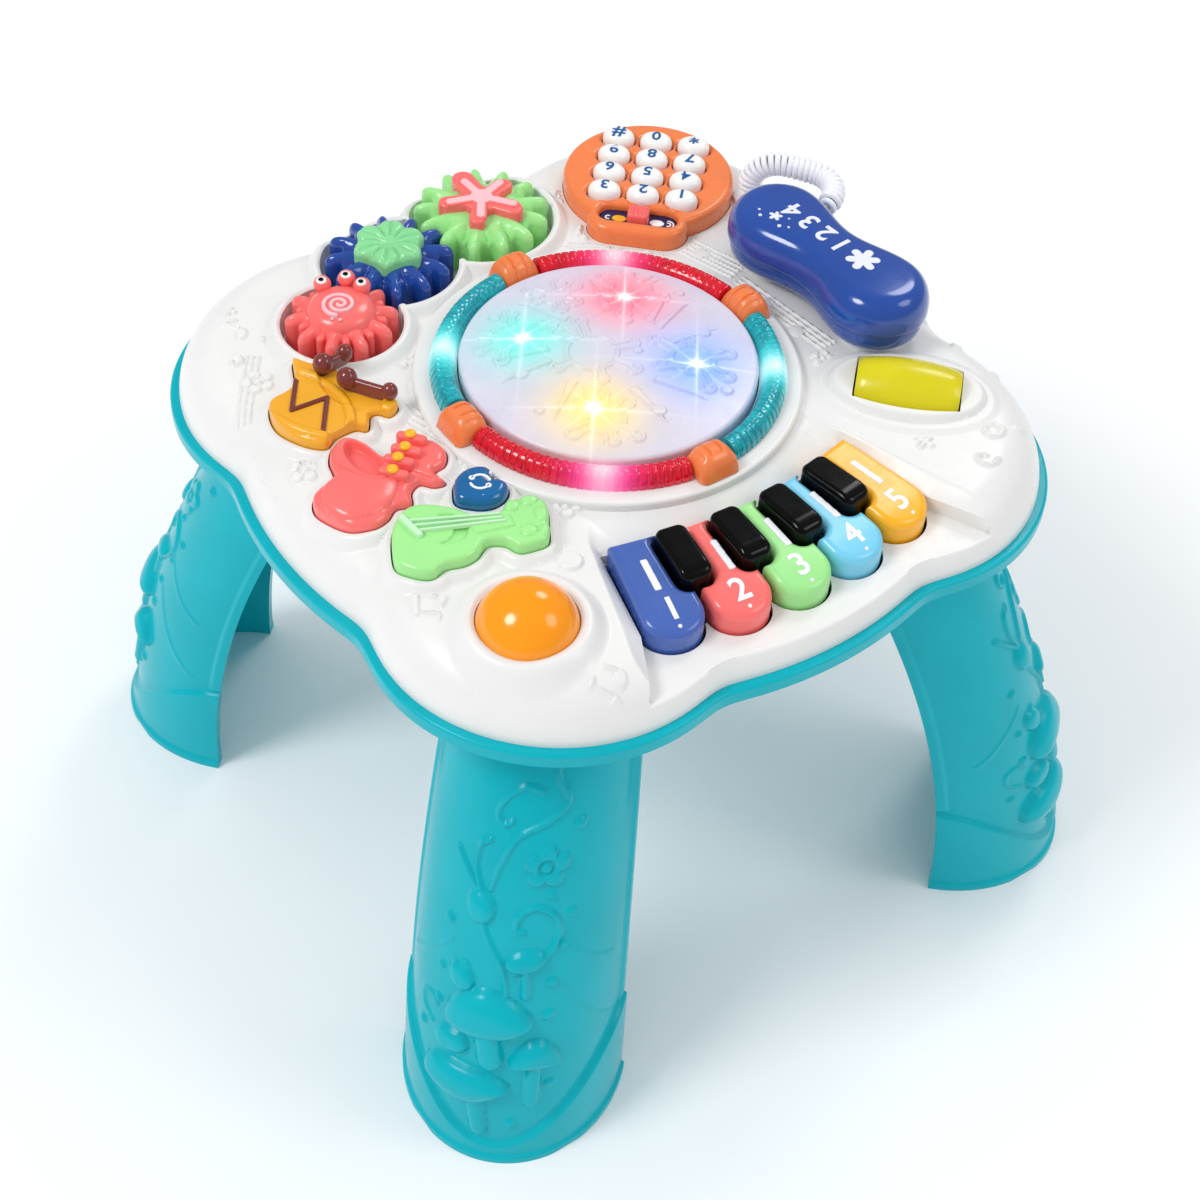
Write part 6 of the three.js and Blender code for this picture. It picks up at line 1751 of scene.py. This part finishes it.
NUMBERS = ("1", "2", "3", "4", "5", "6", "7", "8", "9", "star", "0", "hash")
SIGNS = {"star": "*", "hash": "#"}
NUMBER_SPOTS = [((column - 1.5) * 15.1 + 2, (row - 1) * 18.9) for column in range(4) for row in range(3)]
WINDOW_BOX = (-42, -20), (-27, 20)


def make_pad_plate():
    b = Build()
    plate = disc((0, 0), PAD_R)
    window = turned(block(6.3, 19, 5.8), (PANEL_SHIFT, 0))
    holes = [turned(oval(6.6, 8.3), q) for q in NUMBER_SPOTS]
    h = fine(0.6)
    slab(b, less(plate, window, *holes), (-43, -43), (43, 43), h, 273.5, 256.5, 3.0,
         lambda p: 0.7 * bump(plate(p), 1, 40) - 0.7)
    slab(b, less(panel, window), (-49, -26), (-20, 26), h, 272.6, 262.3, 3.6,
         lambda p: 0.8 * ease((0.9 - np.abs(window(p) + 1.6)) / 0.8))
    slab(b, grown(window, 0.3), *WINDOW_BOX, 1.0, 268.7, 266, 0.1, tint=1, foot=False)
    for end, radii, tint in ((-1, (1.3, 2.8), 2), (1, (1.3,), 3)):
        at = (PANEL_SHIFT, end * 14.6)
        ends = turned(block(4, 2.3, 0.5), (at[0], at[1] + end * 1.6))
        marks = both(union(*[hoop(at, r, 0.45) for r in radii]), ends)
        slab(b, marks, *WINDOW_BOX, 0.3, 268.85, 267.5, 0.1, tint=2, foot=False)
        dot = turned(oval(2.6, 3.6), (PANEL_SHIFT, end * 9.2))
        slab(b, dot, *WINDOW_BOX, 0.5, 268.85, 267, 0.1, tint=tint, foot=False)
    b.moved((*PAD_AT, 0), PAD_ANGLE)
    looks = [ORANGE, NAVY, PRINT_WHITE, AMBER]
    piece("keypad_plate_moulding", b, looks, "keypad_plate", "orange_plastic")


def make_keypad():
    make_pad_plate()
    for name, spot in zip(NUMBERS, NUMBER_SPOTS):
        b = Build()
        cup = turned(oval(6.3, 8.0), spot)
        c = np.array(spot)
        slab(b, cup, c - 9, c + 9, fine(0.4), 277.3, 265.2, 3.6, lambda p, cup=cup: bump(cup(p), 0.5, 6))
        glyph(b, SIGNS.get(name, name), 11 if name in SIGNS else 9.2, spot, QUARTER, 276.6, 277.95, 1)
        b.moved((*PAD_AT, 0), PAD_ANGLE)
        body = "number_" + name
        piece(body + "_cap", b, [BUTTON, PRINT_BLUE], body, "white_plastic", body)
    b = Build()
    cap = turned(block(4.6, 5.2, 2.3), (PANEL_SHIFT, 0))
    slab(b, cap, (-41, -7), (-28, 7), 0.4, 275.2, 268.9, 1.6,
         lambda p: -0.9 * (0.5 + 0.5 * np.cos(p[:, 1] * 3.2)) * ease((cap(p) - 0.6) / 0.8))
    b.moved((*PAD_AT, 0), PAD_ANGLE)
    piece("volume_knob_cap", b, CORAL, "volume_knob", "coral_plastic", "volume_knob")


# Gears and their caps

GEAR_TOP, GEAR_FOOT, CAP_FOOT = 275.0, 253.6, 272.5
EYES = ((13, -7), (17, 1), (11, 11))


def gear_outline(teeth):
    """Involute flanks with rounded tips and roots"""
    pitch = TOOTH_PITCH * teeth
    slant = 20 * DEG
    base = pitch * math.cos(slant)

    def flank(radius):
        a = math.acos(min(1, base / radius))
        return math.pi * 0.43 / teeth + (math.tan(slant) - slant) - (math.tan(a) - a)
    rows = [(pitch - 4.2, math.pi / teeth * 0.62), (pitch - 2.0, flank(pitch - 1.8)), (pitch, flank(pitch)),
            (pitch + 1.9, flank(pitch + 1.9)), (pitch + 3.2, flank(pitch + 3.2) * 0.7)]
    out = []
    for centre in [TURN * k / teeth for k in range(teeth)]:
        out += [polar(r, centre - a) for r, a in rows]
        out.append(polar(pitch + TOOTH_TIP, centre))
        out += [polar(r, centre + a) for r, a in rows[::-1]]
    return smooth_loop(out, 3)


def gear_slab(b, teeth, dip, lobe, inner):
    """Gear with a swollen rib along each tooth"""
    tip = TOOTH_PITCH * teeth + TOOTH_TIP

    def rise(p):
        r = np.hypot(p[:, 0], p[:, 1])
        a = np.arctan2(p[:, 1], p[:, 0])
        wave = np.abs(np.sin((a + math.pi / teeth) * teeth / 2)) ** 0.9
        return -dip * (1 - wave) * ease((r - inner) / 8) - lobe * np.clip((r - tip + 9) / 9, 0, 1) ** 2
    half = tip + 1
    slab(b, shape(gear_outline(teeth)), (-half, -half), (half, half), fine(0.5), GEAR_TOP, GEAR_FOOT,
         3.0, rise)


def make_green_gear():
    b = Build()
    gear_slab(b, GREEN_TEETH, 5.5, 2.0, 15)
    b.moved((*GREEN_AT, 0), PHASES[0])
    piece("green_gear_moulding", b, GREEN, "green_gear", "light_green_plastic", "green_gear")


def make_splash_cap():
    b = Build()
    arms = np.arange(5) * TURN / 5
    star = union(disc((0, 0), 9.6), *[pill(polar(4, a), polar(r, a), w) for a, r, w in zip(
        arms, (18.2, 16.6, 16.0, 16.7, 15.8), (5.6, 4.4, 4.0, 4.8, 4.2))])
    inner = union(disc((0, 0), 5.4), *[pill((0, 0), polar(r, a), 2.1) for a, r in zip(
        arms + 0.1, (14.2, 15.6, 14.6, 16.1, 14.6))])
    for dist, h, top, low, edge, tint in (
            (both(star, disc((0, 0), 24.8)), fine(0.45), 279.2, CAP_FOOT, 1.6, 0),
            (grown(inner, 0.9), 0.45, 279.75, 278, 0.5, 0), (inner, 0.45, 280.2, 278, 0.6, 1)):
        slab(b, dist, (-26, -26), (26, 26), h, top, low, edge, tint=tint, foot=False)
    b.moved((*GREEN_AT, 0), 0.24 * TURN)
    piece("splash_cap_moulding", b, [CORAL, PINK], "splash_cap", "coral_plastic", "green_gear")


def make_blue_gear():
    b = Build()
    gear_slab(b, BLUE_TEETH, 6.0, 2.6, 13)
    b.moved((*BLUE_AT, 0), PHASES[1])
    piece("blue_gear_moulding", b, BLUE, "blue_gear", "blue_plastic", "blue_gear")


def make_flower_cap():
    b = Build()
    turns = np.arange(168) * TURN / 168
    plan = shape([polar(16 + 1.5 * math.cos(a * 6), a) for a in turns])

    def pleats(p):
        r = np.hypot(p[:, 0], p[:, 1])
        a = np.arctan2(p[:, 1], p[:, 0])
        fold = np.abs(np.sin(a * 6)) ** 0.7
        mouth = np.clip(r / 16, 0, 1)
        return -1.7 * (1 - fold) * ease((r - 2.5) / 5) - 2.2 * ease(1 - mouth * 1.9) + 0.4 * mouth
    slab(b, plan, (-20, -20), (20, 20), fine(0.45), 280.6, CAP_FOOT, 3.2, pleats, foot=False)
    b.moved((*BLUE_AT, 0), PHASES[1] + 0.3)
    piece("flower_cap_moulding", b, FLOWER_GREEN, "flower_cap", "light_green_plastic", "blue_gear")


def make_crab_gear():
    b = Build()
    gear_slab(b, CRAB_TEETH, 6.0, 2.2, 12)
    for k in range(CRAB_TEETH):
        a = TURN * (k + 0.5) / CRAB_TEETH
        bar(b, polar(12, a), polar(19.2, a), 1.9, 273.4, 262, h=0.6)
    revolve(b, [(16, CAP_FOOT), (15.6, 275.2), (14.4, 277.4), (11.6, 279.2), (7, 280), (0.01, 280.2)],
            steps=72)
    t = np.linspace(-60, 90, 14) * DEG
    for eye in EYES:
        revolve(b, [(max(4.1 * math.cos(v), 1e-3), 279.6 + 4.1 * math.sin(v)) for v in t], centre=eye,
                steps=32)
    spiral = [polar(1.0 + 0.52 * t, t + 2.2, (-2.4, 0)) for t in np.linspace(0, 2.15 * TURN, 60)]
    slab(b, stroke(spiral, 0.95), (-14, -12), (10, 12), 0.35, 281.0, 278.4, 0.5, tint=1, foot=False)
    for y in (-2.2, 1.4):
        knob_top(b, (-12, y), 0.9, 278.8, 1.0, 1, 12)
    for x, y in EYES:
        knob_top(b, (x - 1.2, y), 2.5, 281.9, 2.1, 3, 20)
        knob_top(b, (x - 1.8, y), 1.3, 283.4, 0.9, 2, 16)
    b.moved((*CRAB_AT, 0), PHASES[2])
    piece("crab_gear_moulding", b, [CORAL, PINK, BLACK, BUTTON], "crab_gear", "coral_plastic", "crab_gear")


def dress_inner_parts():
    """Materials of the pieces inside, which keep their packed form"""
    tones = {"speaker": METAL, "battery_1": METAL, "battery_2": METAL, "battery_3": METAL,
             "circuit_board": BOARD,
             "light_board": BOARD, "battery_door": TURQUOISE}
    for name, material in tones.items():
        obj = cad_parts[name]
        obj.data.materials.clear()
        obj.data.materials.append(material)


make_drum()
make_sax()
make_guitar()
make_heart()
make_spinners()
make_handset()
make_keypad()
make_green_gear()
make_blue_gear()
make_splash_cap()
make_flower_cap()
make_crab_gear()
dress_inner_parts()

# Studio: pale floor, white surroundings, soft lamps


def make_floor():
    bpy.ops.mesh.primitive_plane_add(size=12, location=(0, 0, 0))
    floor = bpy.context.object
    floor.name = "floor"
    n = Nodes("floor")
    tone = n.mix(n.span(n.noise(3), 0, 1), (0.93, 0.94, 0.95, 1), (0.95, 0.96, 0.97, 1))
    n.feed(Base_Color=tone, Roughness=0.7, Specular_IOR_Level=0.2)
    floor.data.materials.append(n.material)


def make_world():
    """Soft light all round, dimmer in reflections and white behind the table"""
    world = bpy.data.worlds.new("world")
    world.use_nodes = True
    tree = world.node_tree
    path = tree.nodes.new("ShaderNodeLightPath")

    def background(node, colour, strength):
        node.inputs["Color"].default_value = (*colour, 1)
        node.inputs["Strength"].default_value = strength
        return node.outputs[0]

    def switch(ray, usual, other):
        node = tree.nodes.new("ShaderNodeMixShader")
        for socket, value in zip(node.inputs, (path.outputs[ray], usual, other)):
            tree.links.new(value, socket)
        return node.outputs[0]
    soft = background(tree.nodes["Background"], (0.98, 0.985, 1.0), 0.74)
    dim = background(tree.nodes.new("ShaderNodeBackground"), (0.95, 0.98, 1), 0.3)
    white = background(tree.nodes.new("ShaderNodeBackground"), (1, 1, 1), 1.0)
    seen = switch("Is Camera Ray", switch("Is Glossy Ray", soft, dim), white)
    tree.links.new(seen, tree.nodes["World Output"].inputs["Surface"])
    bpy.context.scene.world = world


def make_lamps():
    for name, place, size, power in (
        ("key_lamp", (-1.6, 0.2, 2.1), 0.9, 25),
        ("fill_lamp", (1.3, -1.5, 1.9), 1.1, 9),
        ("back_lamp", (1.9, 0.9, 2.3), 0.9, 12),
    ):
        data = bpy.data.lights.new(name, "AREA")
        data.shape = "DISK"
        data.size = size
        data.energy = power
        lamp = place_object(name, data)
        lamp.location = place
        lamp.rotation_euler = (Vector((0, 0, 0.2)) - Vector(place)).to_track_quat("-Z", "Y").to_euler()


make_floor()
make_world()
make_lamps()
bpy.context.scene.view_settings.view_transform = "Standard"
